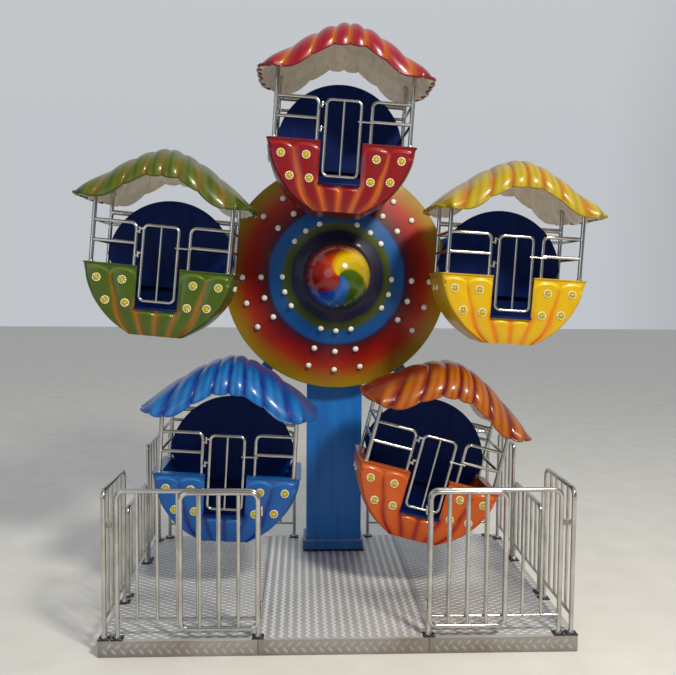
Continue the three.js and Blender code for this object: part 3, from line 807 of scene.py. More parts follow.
@dataclass
class Platform:
    """Three boxed sections of checker plate, with raised lugs on the deck and the fascias."""

    shop: Shop
    lug_height: float = 0.0028
    lug_half: Pair = (0.029, 0.0120)
    lug_sides: int = 8
    lug_point: float = 0.35
    shoulder: Pair = (0.55, 0.85)
    # Share of the lugs' painted highlight on the fascias, which no shoe polishes.
    fascia_highlight: float = 0.3
    margin: float = 0.004
    edge: float = 0.003
    deck: dict[str, Pattern] = field(default_factory=lambda: {
        "left": (Lay.ROWS, (0.081, 0.060)), "centre": (Lay.COLUMNS, (0.0595, 0.063)),
        "right": (Lay.ROWS, (0.081, 0.060))})
    fascia: Pattern = (Lay.CROSSED, (0.060, 0.075))

    def lug(self, patch: Patch, at: Vector, along: Vector, normal: Vector, fascia: float) -> None:
        """Add one almond-shaped lug: a rim on the plate, a shoulder and a crown.

        Args:
            patch: Where it goes.
            at: Its middle, on the plate.
            along: The way it points.
            normal: The way it stands out.
            fascia: One on the fascias, which no shoe polishes, and zero on the deck.
        """
        across = normal.cross(along)
        # The lug value lightens each lug towards its crown: polish from shoes and a painted highlight on the
        # deck, and a weaker painted highlight alone on the fascias.
        worn = 1.0 - (1.0 - self.fascia_highlight) * fascia
        half_long, half_wide = self.lug_half
        count = self.lug_sides
        points, values, faces = [], [], []
        for share, rise in ((1.0, 0.0), self.shoulder):
            for turn in turns(count):
                lengthwise = math.cos(turn) * half_long * share
                sideways = math.sin(turn) * abs(math.sin(turn)) ** self.lug_point * half_wide * share
                points.append(at + along * lengthwise + across * sideways
                              + normal * (rise * self.lug_height))
                values.append(rise * worn)
        for i in range(count):
            n = (i + 1) % count
            faces += [(i, n, count + n, count + i), (count + i, count + n, 2 * count)]
        patch.add(points + [at + normal * self.lug_height], faces, lug=values + [worn], fascia=fascia)

    def cover(self, patch: Patch, corner: Vector, along: Vector, up: Vector, size: Pair,
              pattern: Pattern, fascia: float = 0.0) -> None:
        """Cover a flat rectangle with lugs.

        Args:
            patch: Where the lugs go.
            corner: The rectangle's first corner.
            along: Direction of its rows.
            up: Direction across its rows.
            size: Its length along and across.
            pattern: How the lugs lie, and the distance between them along and across.
            fascia: One for a fascia, zero for the deck.
        """
        lay, (pitch, rise) = pattern
        reach = self.lug_half[0] + self.margin
        rows = int((size[1] - 2 * reach) / (rise / 2)) + 1
        columns = int((size[0] - 2 * reach) / pitch) + 1
        spare = ((size[0] - (columns - 1) * pitch) / 2, (size[1] - (rows - 1) * rise / 2) / 2)
        slants = ((along - up).normalized(), (along + up).normalized())
        for row, column in np.ndindex(rows, columns):
            odd = row % 2
            shift = pitch / 2 if odd and lay is not Lay.COLUMNS else 0.0
            x = spare[0] + column * pitch + shift
            if x <= size[0] - reach:
                at = corner + along * x + up * (spare[1] + row * rise / 2)
                way = along if lay is Lay.ROWS else slants[odd]
                self.lug(patch, at, way, along.cross(up), fascia)

    def section(self, side: str) -> None:
        """Build one section in place of its CAD node.

        Args:
            side: "left", "centre" or "right".
        """
        low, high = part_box(f"platform_{side}")
        skin = self.lug_height
        deck = Vector((high.x - skin * (side == "right"), high.y - skin, high.z))
        toe = Vector((low.x + skin * (side == "left"), low.y + skin, low.z))
        patch = Patch()
        # Each corner's points across x and y stand on a fascia, the one across z on the deck.
        patch.box(toe, deck, self.edge, fascia=(1.0, 1.0, 0.0) * 8)
        width, depth = deck.x - toe.x, deck.y - toe.y
        right, back, up = Vector((1, 0, 0)), Vector((0, 1, 0)), Vector((0, 0, 1))
        self.cover(patch, Vector((toe.x, toe.y, deck.z)), right, back, (width, depth), self.deck[side])
        walls = [(toe, right, width), (Vector((deck.x, deck.y, toe.z)), -right, width)]
        if side == "left":
            walls.append((Vector((toe.x, deck.y, toe.z)), -back, depth))
        if side == "right":
            walls.append((Vector((deck.x, toe.y, toe.z)), back, depth))
        for corner, along, length in walls:
            self.cover(patch, corner, along, up, (length, high.z), self.fascia, 1.0)
        patch.settle(f"deck_{side}", Body.BASE, [f"platform_{side}"],
                     [self.shop.tread], 50.0)

    def build(self) -> None:
        """Build the three sections."""
        for side in self.deck:
            self.section(side)


@dataclass
class Column:
    """The folded steel column on its bolted plinth, with the bearing that carries the wheel."""

    shop: Shop
    fold: float = 0.006
    edge: float = 0.003
    inset: float = 0.012
    flange: float = 0.012
    gasket: float = 0.014
    cap: float = 0.01
    back_inset: float = 0.003
    anchor: float = 0.0085
    anchor_inset: float = 0.06
    cover_half: float = 0.11
    cover_rise: Pair = (0.45, 0.75)
    weld: float = 0.006
    ring_bolts: int = 8
    ring_bolt: float = 0.008
    bearing_bore: float = 0.056

    def build(self) -> None:
        """Build the plinth, the column and the bearing."""
        self.plinth()
        self.shaft()
        self.bearing()

    def finish(self, patch: Patch, name: str, node: str, *more: Material) -> None:
        """Settle one piece of the column in place of its CAD node."""
        materials = [self.shop.cobalt, self.shop.zinc, *more]
        patch.settle(name, Body.BASE, [node], materials)

    def plinth(self) -> None:
        """The foot box, with a top flange, a rubber foot and anchor bolts on its ends."""
        low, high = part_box("column_base")
        patch = Patch()
        inset, lip, step = self.inset, 0.004, high.z - self.flange
        patch.box((low.x + inset, low.y + inset, low.z), (high.x - inset, high.y - inset, step),
                  self.edge, worn=0.15)
        patch.box((low.x + lip, low.y + lip, step), (high.x - lip, high.y - lip, high.z),
                  self.edge, worn=1.0)
        patch.box(low, (high.x, high.y, low.z + self.gasket), self.edge, 2)
        rise = (low.z + high.z) / 2
        for y in np.linspace(low.y + self.anchor_inset, high.y - self.anchor_inset, 3):
            for x, way in ((low.x + inset, -1), (high.x - inset, 1)):
                patch.bolt((x, y, rise), (way, 0, 0), self.anchor, 1)
        self.finish(patch, "plinth", "column_base", self.shop.rubber)

    def shaft(self) -> None:
        """The tall box, with a cap, a screwed inspection cover at the back and a weld at its foot."""
        low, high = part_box("column")
        patch = Patch()
        step, lip = high.z - self.cap, 0.003
        patch.box(low, (high.x, high.y - self.back_inset, step), self.fold)
        patch.box((low.x + lip, low.y + lip, step), (high.x - lip, high.y - lip, high.z),
                  self.edge, worn=0.6)
        middle = (low.x + high.x) / 2
        bottom, top = (low.z + rise for rise in self.cover_rise)
        patch.box((middle - self.cover_half, high.y - 0.004, bottom),
                  (middle + self.cover_half, high.y, top), 0.002, worn=0.6)
        screw = ((0.007, 0.0), (0.007, 0.002), (0.004, 0.003))
        for side, z in product((-1, 1), (bottom + 0.025, top - 0.025)):
            at = (middle + side * (self.cover_half - 0.02), high.y - 0.003, z)
            patch.turned(screw, at, (0, 1, 0), 12, 1)
        inset, foot = 0.004, low.z + 0.002
        left, right, front, back = low.x + inset, high.x - inset, low.y + inset, high.y - inset
        weld = [(left, front, foot), (right, front, foot), (right, back, foot), (left, back, foot)]
        for start, end in zip(weld, weld[1:] + weld[:1]):
            patch.tube([start, end], self.weld, 8, worn=0.5)
        self.finish(patch, "column_box", "column")

    def bearing(self) -> None:
        """The bearing housing: a flange with a ring of bolts and a stepped collar."""
        low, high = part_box("hub_bearing")
        centre = Vector(((low.x + high.x) / 2, high.y, (low.z + high.z) / 2))
        radius, depth = (high.z - low.z) / 2, high.y - low.y
        flange = depth * 0.55
        patch = Patch()
        patch.turned(((radius, 0.0), (radius, depth * 0.45), (radius - 0.004, flange),
                      (radius * 0.72, depth * 0.6), (radius * 0.68, depth), (self.bearing_bore, depth)),
                     centre, (0, -1, 0), 40, worn=0.2)
        for turn in turns(self.ring_bolts):
            spoke = Vector((math.cos(turn), 0, math.sin(turn))) * radius * 0.85
            patch.bolt(centre + spoke - Vector((0, flange, 0)), (0, -1, 0), self.ring_bolt, 1)
        self.finish(patch, "bearing_housing", "hub_bearing")


@dataclass
class Railing:
    """Sizes and joints that the fixed fence panels and the gate leaves share."""

    shop: Shop
    node: str
    balusters: int
    tube: float = 0.016
    baluster: float = 0.011
    bend: float = 0.052
    rail: float = 0.130
    foot: float = 0.039
    foot_thick: float = 0.008
    weld: float = 0.0016
    pivot: float = 0.022
    hinge_heights: Pair = (0.190, 0.830)
    knuckle: float = 0.030
    pin: float = 0.010
    strap: float = 0.0065

    def uprights(self, patch: Patch, start: Array, end: Array, low: float,
                 high: float) -> None:
        """Add the balusters between two posts, each with a weld ring at both ends.

        Args:
            patch: Where they go.
            start: Place in plan of one post.
            end: Place in plan of the other.
            low: Height of the bottom rail's middle line.
            high: Height of the top rail's middle line.
        """
        for i in range(1, self.balusters + 1):
            at = start + (end - start) * i / (self.balusters + 1)
            patch.tube([(*at, low), (*at, high)], self.baluster, 12)
            for z, way in ((low + self.baluster * 0.9, 1), (high - self.tube * 0.95, -1)):
                patch.tube([(*at, z), (*at, z + way * 0.004)], self.baluster + self.weld, 12)

    def hinge(self, patch: Patch, post: Sequence[float], axis: Sequence[float], z: float,
              profile: Path) -> None:
        """Add a hinge knuckle that starts at height z, with the strap that holds it to its post."""
        patch.turned(profile, (*axis, z), (0, 0, 1), 16)
        patch.tube([(*post, z + self.knuckle / 2), (*axis, z + self.knuckle / 2)], self.strap, 10)


@dataclass
class FencePanel(Railing):
    """One fixed panel: a bent tube frame on two feet, a bottom rail and its balusters."""

    def __post_init__(self) -> None:
        """Take the places of the two posts, the deck and the panel's top from its CAD node."""
        low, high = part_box(self.node)
        self.floor, self.top = low.z, high.z
        left, right = low.x + self.foot, high.x - self.foot
        if "front_" in self.node or "back" in self.node:
            y = high.y - self.foot if "front_" in self.node else (low.y + high.y) / 2
            self.start, self.end = np.array([left, y]), np.array([right, y])
        else:
            x = left if "left" in self.node else right
            self.start, self.end = np.array([x, low.y + self.foot]), np.array([x, high.y - self.foot])

    def base(self, patch: Patch, at: Array) -> None:
        """Add one black foot plate with its collar and four screws.

        Args:
            patch: Where it goes.
            at: Its place in plan.
        """
        (x, y), foot, top = at, self.foot, self.floor + self.foot_thick
        patch.box((x - foot, y - foot, self.floor), (x + foot, y + foot, top), 0.0025, 1)
        collar = ((self.tube + 0.006, 0.0), (self.tube + 0.0055, 0.009), (self.tube + 0.001, 0.016))
        patch.turned(collar, (x, y, top - 0.001), (0, 0, 1), 20, 0)
        screw = ((0.0055, -0.001), (0.0055, 0.002), (0.0035, 0.0035))
        for sx, sy in product((-0.72, 0.72), repeat=2):
            patch.turned(screw, (x + sx * foot, y + sy * foot, top), (0, 0, 1), 10, 2)

    def build(self) -> None:
        """Build the panel in place of its CAD node."""
        start, end = self.start, self.end
        patch = Patch()
        crown, low = self.top - self.tube, self.floor + self.rail
        foot = self.floor + self.foot_thick / 2
        path = [(*start, foot), (*start, crown), (*end, crown), (*end, foot)]
        patch.tube(bent(path, self.bend, 8), self.tube, 16)
        patch.tube([(*start, low), (*end, low)], self.baluster, 12)
        self.uprights(patch, start, end, low, crown)
        self.base(patch, start)
        self.base(patch, end)
        self.extras(patch)
        patch.settle(self.node.replace("fence", "railing"), Body.BASE, [self.node],
                     [self.shop.steel, self.shop.rubber, self.shop.zinc])

    def extras(self, patch: Patch) -> None:
        """Plain panels carry nothing more."""


@dataclass
class TiedPanel(FencePanel):
    """A side panel whose front post is tied to the corner post of the front panel."""

    height: float = 0.765
    half: float = 0.02
    thin: float = 0.003

    def extras(self, patch: Patch) -> None:
        """Add the flat tie plate and its two screws.

        Args:
            patch: Where they go.
        """
        low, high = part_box(self.node)
        reach = high.x if "left" in self.node else low.x
        x, y, z = *self.start, self.floor + self.height
        patch.box((x, y - self.thin, z - self.half), (reach, y + self.thin, z + self.half), 0.001, 2)
        for share in (0.4, 0.75):
            patch.bolt((x + (reach - x) * share, y - self.thin, z), (0, -1, 0), 0.005, 2)


@dataclass
class GatePost(FencePanel):
    """A front panel whose inner post carries the lower knuckles of the gate's hinges."""

    def extras(self, patch: Patch) -> None:
        """Add the two knuckles with their straps.

        Args:
            patch: Where they go.
        """
        inner, way = (self.end, 1) if "left" in self.node else (self.start, -1)
        axis = (inner[0] + way * self.pivot, inner[1] - self.pivot)
        for height in self.hinge_heights:
            profile = ((self.pin, 0.0), (self.pin, self.knuckle))
            self.hinge(patch, inner, axis, self.floor + height, profile)


@dataclass
class GateLeaf(Railing):
    """One gate leaf, folded back in front of its fixed panel."""

    body: Body = Body.LEFT_GATE
    lift: float = 0.080
    play: float = 0.0003

    def build(self) -> None:
        """Build the leaf in place of its CAD node."""
        low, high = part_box(self.node)
        way = 1 if self.body is Body.LEFT_GATE else -1
        axis = joint_named(f"{self.body}_hinge")["pos_m"][:2]
        post = axis[0] - way * self.pivot
        y = low.y + self.tube
        far = low.x + self.tube if way > 0 else high.x - self.tube
        bottom, top = low.z + self.tube, high.z - self.tube
        half = (bottom + top) / 2
        patch = Patch()
        loop = [(post, y, half), (post, y, top), (far, y, top), (far, y, bottom), (post, y, bottom),
                (post, y, half)]
        patch.tube(bent(loop, self.bend, 8), self.tube, 16)
        self.uprights(patch, np.array([post, y]), np.array([far, y]), bottom, top)
        profile = ((self.pin, 0.0), (self.pin, self.knuckle), (self.pin * 0.7, self.knuckle + 0.003))
        for height in self.hinge_heights:
            z = bottom - self.lift + height + self.knuckle + self.play
            self.hinge(patch, (post, y), axis, z, profile)
        patch.settle(f"{self.node}_leaf", self.body, [self.node], [self.shop.steel])


# The wheel


@dataclass
class Wheel:
    """The five arms, the domed painted face, the ball and the lamps round it."""

    shop: Shop
    turn: float = -1.0
    arm_angles: tuple[float, ...] = (90.0, 162.0, 234.0, 306.0, 18.0)
    reach: float = 1.366
    arm_half: float = 0.05
    arm_depth: float = 0.07
    arm_gap: float = 0.0003
    arm_start: float = 0.1
    arm_edge: float = 0.006
    drum: float = 0.15
    axle_radius: float = 0.054
    gusset: Triple = (0.14, 0.32, 0.06)
    gusset_plate: Pair = (0.030, 0.038)
    boss: float = 0.075
    bore: float = 0.031
    bore_floor: float = 0.56
    rim_depth: float = 0.0297
    dome: Pairs = (
        (0.290, 0.295), (0.375, 0.260), (0.455, 0.190), (0.565, 0.140), (0.812, 0.045))
    wall: float = 0.012
    face_sides: int = 144
    bulb: float = 0.025
    bulb_rings: tuple[float, ...] = (0.444, 0.624, 0.782)
    bulb_clusters: tuple[float, ...] = (270.0, 198.0, 126.0, 54.0, 342.0)
    bulb_spread: tuple[float, ...] = (-16.0, 0.0, 16.0)

    def __post_init__(self) -> None:
        """Take the axle and the planes from the CAD nodes."""
        axle = joint_named("wheel_spin")["pos_m"]
        face_low, face_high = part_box("wheel_face")
        self.radius = (face_high.x - face_low.x) / 2
        self.rim = face_high.y - self.rim_depth
        self.rear = face_high.y
        arm_low, arm_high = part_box("wheel_arms")
        self.arm_front = self.rear + self.arm_gap
        self.arm_back = self.arm_front + self.arm_depth
        self.shaft_end = arm_high.y
        self.boss_front = arm_low.y
        ball_low, ball_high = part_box("hub_ball")
        self.ball = (ball_high.x - ball_low.x) / 2
        self.ball_back = ball_high.y
        self.place = (Matrix.Translation((axle[0], 0.0, axle[2]))
                      @ Matrix.Rotation(math.radians(-self.turn), 4, "Y"))

    def depth(self, radius: float) -> float:
        """Where the dome's front surface lies, from front to back, at a distance from the axle."""
        radii, proud = zip((self.ball - 0.01, self.rim - self.ball_back), *self.dome, (self.radius, 0.0))
        return self.rim - float(np.interp(radius, radii, proud))

    def build(self) -> None:
        """Build the arms, the face, the ball and the bulbs."""
        self.arms()
        self.face()
        self.hub_ball()
        self.bulbs()

    def arms(self) -> None:
        """Five box-section arms on a drum, a shaft behind and a bored boss at each tip."""
        patch = Patch()
        front, back = self.arm_front, self.arm_back
        depth = back - front
        patch.turned(((self.drum, 0.0), (self.drum, depth - 0.004), (self.drum - 0.004, depth),
                      (self.axle_radius, depth), (self.axle_radius, self.shaft_end - front)),
                     (0, front, 0), (0, 1, 0), 40, worn=0.2)
        near, far, rise = self.gusset
        half, length = self.arm_half, back - self.boss_front
        # Each boss is a thick tube with a bore for the cabin's shaft, a closed back and a collar.
        boss = ((self.boss - 0.009, 0.0), (self.boss, 0.004), (self.boss, length - 0.004),
                (self.boss - 0.004, length), (self.bore, length), (self.bore, back - self.bore_floor))
        collar = ((self.boss, 0.0), (self.boss, 0.012), (self.boss - 0.002, 0.013))
        for angle in self.arm_angles:
            turned = Matrix.Rotation(math.radians(-angle), 4, "Y")
            limb = Patch()
            # The arm stands a little inside the drum's and the boss's flat faces.
            limb.box((self.arm_start, front + 0.001, -half), (self.reach, back - 0.003, half), self.arm_edge)
            for side in (-1, 1):
                corners = [(near, side * half), (far, side * half), (near, side * (half + rise))]
                plate = [(x, front + y, z) for y in self.gusset_plate for x, z in corners]
                faces = [(0, 1, 2), (3, 5, 4), (0, 3, 4, 1), (1, 4, 5, 2), (2, 5, 3, 0)]
                limb.add(plate, [face[::-1] for face in faces] if side < 0 else faces)
            points = np.vstack(limb.points) @ np.array(turned.to_3x3()).T
            patch.add(points, limb.faces, worn=0.1)
            tip = turned @ Vector((self.reach, 0, 0))
            patch.turned(boss, (tip.x, back, tip.z), (0, -1, 0), 32, worn=0.3)
            patch.turned(collar, (tip.x, self.boss_front + 0.014, tip.z), (0, -1, 0), 32, worn=0.8)
        patch.settle("spider_arms", Body.WHEEL, ["wheel_arms"], [self.shop.cobalt],
                     place=self.place)

    def face(self) -> None:
        """The domed face, a stepped fibreglass shell with a rolled rim."""
        outline = np.array([(self.ball - 0.015, self.ball_back),
                            *((radius, self.rim - proud) for radius, proud in self.dome),
                            (self.radius - 0.012, self.rim - 0.002)])
        # Each step of the dome is eased into a short curve.
        shape = [tuple(outline[0])]
        for before, here, after in zip(outline, outline[1:], outline[2:]):
            start, end = here + (before - here) * 0.3, here + (after - here) * 0.3
            for t in np.linspace(0, 1, 5):
                shape.append(tuple((1 - t) ** 2 * start + 2 * t * (1 - t) * here + t * t * end))
        shape.append(tuple(outline[-1]))
        rim = [(self.radius - 0.003, self.rim), (self.radius, self.rim + 0.004),
               (self.radius, self.rear - 0.002), (self.radius - 0.003, self.rear),
               (self.radius - 0.02, self.rear), (self.radius - 0.02, self.rim + self.wall)]
        profile = shape + rim + [(r - 0.004, y + self.wall) for r, y in reversed(shape)]
        angles = turns(self.face_sides)
        points = [[(r * math.cos(t), y, r * math.sin(t)) for t in angles] for r, y in profile]
        painted = len(shape) + len(rim) - 2
        slots = [int(r >= painted) for r in range(len(points)) for _ in angles]
        patch = Patch()
        patch.grid(np.array(points + points[:1]), True, slots)
        patch.settle("painted_face", Body.WHEEL, ["wheel_face"],
                     [self.shop.face, self.shop.layup], 60.0, self.place)

    def hub_ball(self) -> None:
        """The ball: half a sphere with a short straight foot."""
        patch = Patch()
        foot, steps = 0.004, 24
        profile = [(self.ball - 0.002, 0.0), (self.ball, foot)]
        for angle in np.linspace(0, math.pi / 2, steps + 1)[1:]:
            profile.append((self.ball * math.cos(angle), foot + (self.ball - foot) * math.sin(angle)))
        profile[-1] = (0.001, self.ball)
        patch.turned(profile, (0, self.ball_back, 0), (0, -1, 0), 96)
        patch.slots[-2] = 1  # the flat back, which is bare fibreglass
        patch.settle("swirl_ball", Body.WHEEL, ["hub_ball"],
                     [self.shop.ball, self.shop.layup], place=self.place)

    def bulbs(self) -> None:
        """Nine opal bulbs in each of the five clusters, each in a dark ring."""
        patch = Patch()
        seat, flat, step = 0.003, 0.95, 0.02
        dome = [(self.bulb * math.cos(a), seat + self.bulb * math.sin(a) * flat)
                for a in np.linspace(0, math.pi / 2, 7)]
        dome[-1] = (0.0005, seat + self.bulb * flat)
        ring = ((self.bulb * 1.14, -0.004), (self.bulb * 1.14, seat), (self.bulb * 0.98, 0.005))
        for cluster, spread, radius in product(self.bulb_clusters, self.bulb_spread, self.bulb_rings):
            turn = math.radians(cluster + spread)
            slope = (self.depth(radius + step) - self.depth(radius - step)) / (2 * step)
            outward = Vector((math.cos(turn), 0, math.sin(turn)))
            normal = (Vector((0, -1, 0)) + outward * slope).normalized()
            at = outward * radius + Vector((0, self.depth(radius), 0))
            patch.turned(ring, at, normal, 20, 1)
            patch.turned(dome, at, normal, 20)
        patch.settle("face_bulbs", Body.WHEEL, [],
                     [self.shop.opal, self.shop.rubber], place=self.place)


# The cabins

# Stretches round a tub's plan, from its front left corner, and the columns of points on each.
STRETCHES = (("front_left", 30), ("door", 32), ("front_right", 30), ("corner_0", 5), ("right", 26),
             ("corner_1", 5), ("back", 64), ("corner_2", 5), ("left", 26), ("corner_3", 5))


@dataclass
class Cabin:
    """One cabin in its own frame: x across, y towards the wheel, z up, from its pivot."""

    shop: Shop
    livery: Livery
    y: float = -0.080
    rim: float = -0.400
    middle_y: float = -0.015
    corner: float = 0.020
    bowl: tuple[Triple, ...] = (
        (0.0, 0.555, 0.300), (0.140, 0.527, 0.297), (0.310, 0.437, 0.290),
        (0.430, 0.320, 0.278), (0.505, 0.205, 0.260))
    wall: float = 0.024
    lip: float = 0.070
    door_way: Triple = (-0.158, 0.150, 0.300)
    lobe: float = 0.016
    lobe_start: Pair = (0.022, 0.322)
    lobe_power: Pair = (2.6, 0.62)
    arch: float = 0.055
    arch_span: float = 0.2
    arch_edge: float = 0.020
    # Width of the painted highlight just under each lobe's top.
    highlight_line: float = 0.010
    groove_inner: Triple = (0.158, 0.158, 0.092)
    groove_outer: tuple[float, float, float, float] = (0.64, 0.63, 0.71, 0.82)
    spray: Pair = (0.013, 0.030)
    spray_grows: Pair = (0.05, 0.36)
    spray_fade: Pair = (0.015, 0.10)
    side_fade: Pair = (0.16, 0.34)
    brow_fade: Pair = (0.02, 0.12)
    brow_share: float = 0.45
    side_lobes: int = 4
    post_x: float = 0.498
    post_y: Pair = (-0.275, 0.245)
    post_radius: float = 0.016
    post_top: float = 0.130
    rail_top: float = 0.307
    rail_middle: float = 0.162
    rail_radius: float = 0.0125
    rail_bend: float = 0.042
    pivot_bar: float = 0.0195
    plate_half: float = 0.09
    plate_behind: Pair = (0.010, 0.028)
    plate_bolt: float = 0.008
    inner_posts: Pair = (-0.186, 0.206)
    board_radius: float = 0.495
    board_centre: float = 0.035
    board_cut: float = 0.070
    board_waist: float = 0.460
    board_foot: float = 0.400
    board_low: float = -0.150
    board_thick: float = 0.018
    door: tuple[float, float, float, float] = (-0.140, 0.135, -0.263, 0.308)
    door_tube: float = 0.011
    door_bar: float = 0.008
    door_bend: float = 0.036
    latch_start: float = 0.105
    latch_radius: float = 0.007
    latch_out: float = 0.012
    door_y: float = -0.300
    hinge_x: float = -0.160
    hinge_heights: Pair = (0.060, 0.235)
    knuckle: float = 0.022
    shaft: float = 0.030
    shaft_end: float = 0.600
    seat: float = 0.0003
    socket_gap: float = 0.022
    lamp_spots: Pairs = (
        (0.440, 0.110), (0.256, 0.111), (0.368, 0.268), (0.224, 0.277))
    lamp: float = 0.031
    side_lamps: Pairs = ((0.375, 0.110), (0.625, 0.110))
    side_lamp: float = 0.7
    petals: int = 8
    flutes: Pairs = (
        (0.0, 0.0), (0.057, 0.045), (0.115, 0.090), (0.190, 0.147), (0.265, 0.205),
        (0.362, 0.282), (0.460, 0.360), (0.565, 0.510), (0.662, 0.662))
    roof_half: float = 0.662
    roof_reach: Pair = (-0.515, 0.340)
    roof_tip: float = 0.080
    roof_rise: float = 0.3985
    eaves_drop: float = 0.018
    eaves_rise: float = 0.190
    arch_half: float = 0.48
    arch_ease: float = 0.42
    rear_lift: float = 0.030
    roundness: Pair = (2.2, 3.2)
    fan: float = 0.55
    roof_wall: float = 0.013
    bead: float = 0.008
    end_bead: float = 0.012
    flute: float = 0.029
    lobe_dip: float = 0.018
    scallop: float = 0.028
    scallops: int = 5
    fold_dip: float = 0.012
    hem_notch: float = 0.045
    tip_start: Pair = (0.50, 0.66)
    tip_round: float = 0.045
    tip_narrow: float = 0.16

    def __post_init__(self) -> None:
        """Stand the cabin's frame at its pivot, with the tilt of its door hinge."""
        x, _, z = joint_named(f"{self.livery}_swing")["pos_m"]
        axis = joint_named(f"{self.livery}_door_hinge")["axis"]
        tilt = math.atan2(-axis[0], -axis[2])
        self.place = Matrix.Translation((x, self.y, z)) @ Matrix.Rotation(tilt, 4, "Y")

    def build(self) -> None:
        """Build the tub, canopy, frame, board, door and lamps."""
        self.tub()
        self.canopy()
        self.tubes()
        self.board()
        self.door_leaf()
        self.lamps()

    def finish(self, patch: Patch, name: str, slot: str, part: str, materials: Sequence[Material],
               crease: float = 38.0) -> None:
        """Settle one piece in place of its CAD part, with the cabin's colour in its names.

        Args:
            patch: The piece.
            name: Its name, after the colour.
            slot: The record's material slot; not used.
            part: The CAD part that it replaces, or nothing.
            materials: The materials in slot order.
            crease: Edges sharper than this many degrees stay sharp.
        """
        colour = self.livery
        body = f"{colour}_cabin_door" if part == "door" else f"{colour}_cabin"
        nodes = [f"{colour}_{part}"] if part else []
        patch.settle(f"{colour}_{name}", body, nodes, materials, crease, self.place)

    def size_at(self, depth: float) -> Pair:
        """Half width and half depth of the bowl at a depth below the rim."""
        depths, widths, reaches = zip(*self.bowl)
        return curve(depth, depths, widths), curve(depth, depths, reaches)

    def relief(self, x: float, depth: float, front: bool) -> Triple:
        """How far a lobe stands out at a place on the front or back, and how it is painted.

        Args:
            x: Distance from the middle.
            depth: Distance below the rim.
            front: Whether the face has the doorway.
        Returns:
            The relief, the share of groove paint and the share of painted highlight.
        """
        # The front's grooves, and the tub's side as the last line.
        half, _ = self.size_at(depth)
        share = depth / self.bowl[-1][0]
        inner = float(np.interp(share, (0.0, 0.6, 1.0), self.groove_inner))
        outer = half * float(np.interp(share, (0, 0.5, 0.75, 1), self.groove_outer))
        lines, away = (0.0, inner, outer, half), abs(x)
        low = sum(away >= line for line in lines[1:3])
        left, right = lines[low], lines[low + 1]
        centre = (away - left) / (right - left) * 2 - 1
        under_door = low == 0 and front
        round_off = (1 - math.sqrt(max(0.0, 1 - centre * centre))) * (right - left) / self.arch_span
        arch = self.lobe_start[under_door] + self.arch * round_off
        rise = float(smooth(depth, arch, arch + self.arch_edge))
        side = max(0.0, -centre) if low == 2 else abs(centre)
        shape = (1 - side ** self.lobe_power[0]) ** self.lobe_power[1]
        # A groove is sprayed on both sides, but not along the doorway or the tub's own sides.
        sill = self.door_way[2]
        to_left = away - left if low or not front or depth > sill else 1.0
        to_right = 1.0 if low == 2 or (under_door and depth < sill) else right - away
        edge = min(away if low == 0 else to_left, to_right)
        fade = float(smooth(depth, *self.spray_fade))
        if low == 1 and to_left < to_right:
            fade *= float(smooth(depth, *self.side_fade))
        thin, wide = self.spray
        band = thin + (wide - thin) * float(smooth(depth, *self.spray_grows))
        paint = math.exp(-((edge / band) ** 2)) * fade
        # A painted highlight in a thin line just under each lobe's arched top.
        crest = math.exp(-(((depth - arch) / self.highlight_line - 1) ** 2)) * 0.9
        return self.lobe * shape * rise, paint, crest

    def place_on(self, side: str, share: float, half: float, reach: float) -> tuple[Vector, Vector]:
        """A point and its outward direction on the tub's plan.

        Args:
            side: Name of the stretch.
            share: How far along the stretch.
            half: Half width there.
            reach: Half depth there.
        Returns:
            The point and the direction, both flat.
        """
        across, along = half - self.corner, reach - self.corner
        left, right, _ = self.door_way
        middle = Vector((0, self.middle_y, 0))
        straight = {
            "front_left": ((-across, -reach), (left, -reach), (0, -1)),
            "door": ((left, -reach), (right, -reach), (0, -1)),
            "front_right": ((right, -reach), (across, -reach), (0, -1)),
            "right": ((half, -along), (half, along), (1, 0)),
            "back": ((across, reach), (-across, reach), (0, 1)),
            "left": ((-half, along), (-half, -along), (-1, 0)),
        }
        if side in straight:
            start, end, outward = (Vector((*pair, 0)) for pair in straight[side])
            return middle + start.lerp(end, share), outward
        quarter = int(side[-1])
        corners = ((across, -along), (across, along), (-across, along), (-across, -along))
        turn = math.radians(-90 + 90 * (quarter + share))
        outward = Vector((math.cos(turn), math.sin(turn), 0))
        return middle + Vector((*corners[quarter], 0)) + outward * self.corner, outward

    def around(self, side: str, share: float, x: float, depth: float) -> Triple:
        """Relief and paint on any side of the tub.

        Args:
            side: Name of the stretch.
            share: How far along the stretch.
            x: Distance from the middle, to the right.
            depth: Distance below the rim.
        Returns:
            The relief, the share of groove paint and the share of painted highlight.
        """
        if side in ("left", "right"):
            wave = abs(math.sin(math.pi * self.side_lobes * share))
            rise = float(smooth(depth, self.lobe_start[0], 0.05))
            return self.lobe * wave**0.6 * rise, math.exp(-((wave / 0.5) ** 2)) * rise * 0.6, 0.0
        if side.startswith("corner"):
            into = share if side in ("corner_0", "corner_2") else 1 - share
            push, paint, crest = self.relief(self.size_at(depth)[0], depth, False)
            return push * (1 - into), paint * (1 - into), crest * (1 - into)
        return self.relief(x, depth, side != "back")

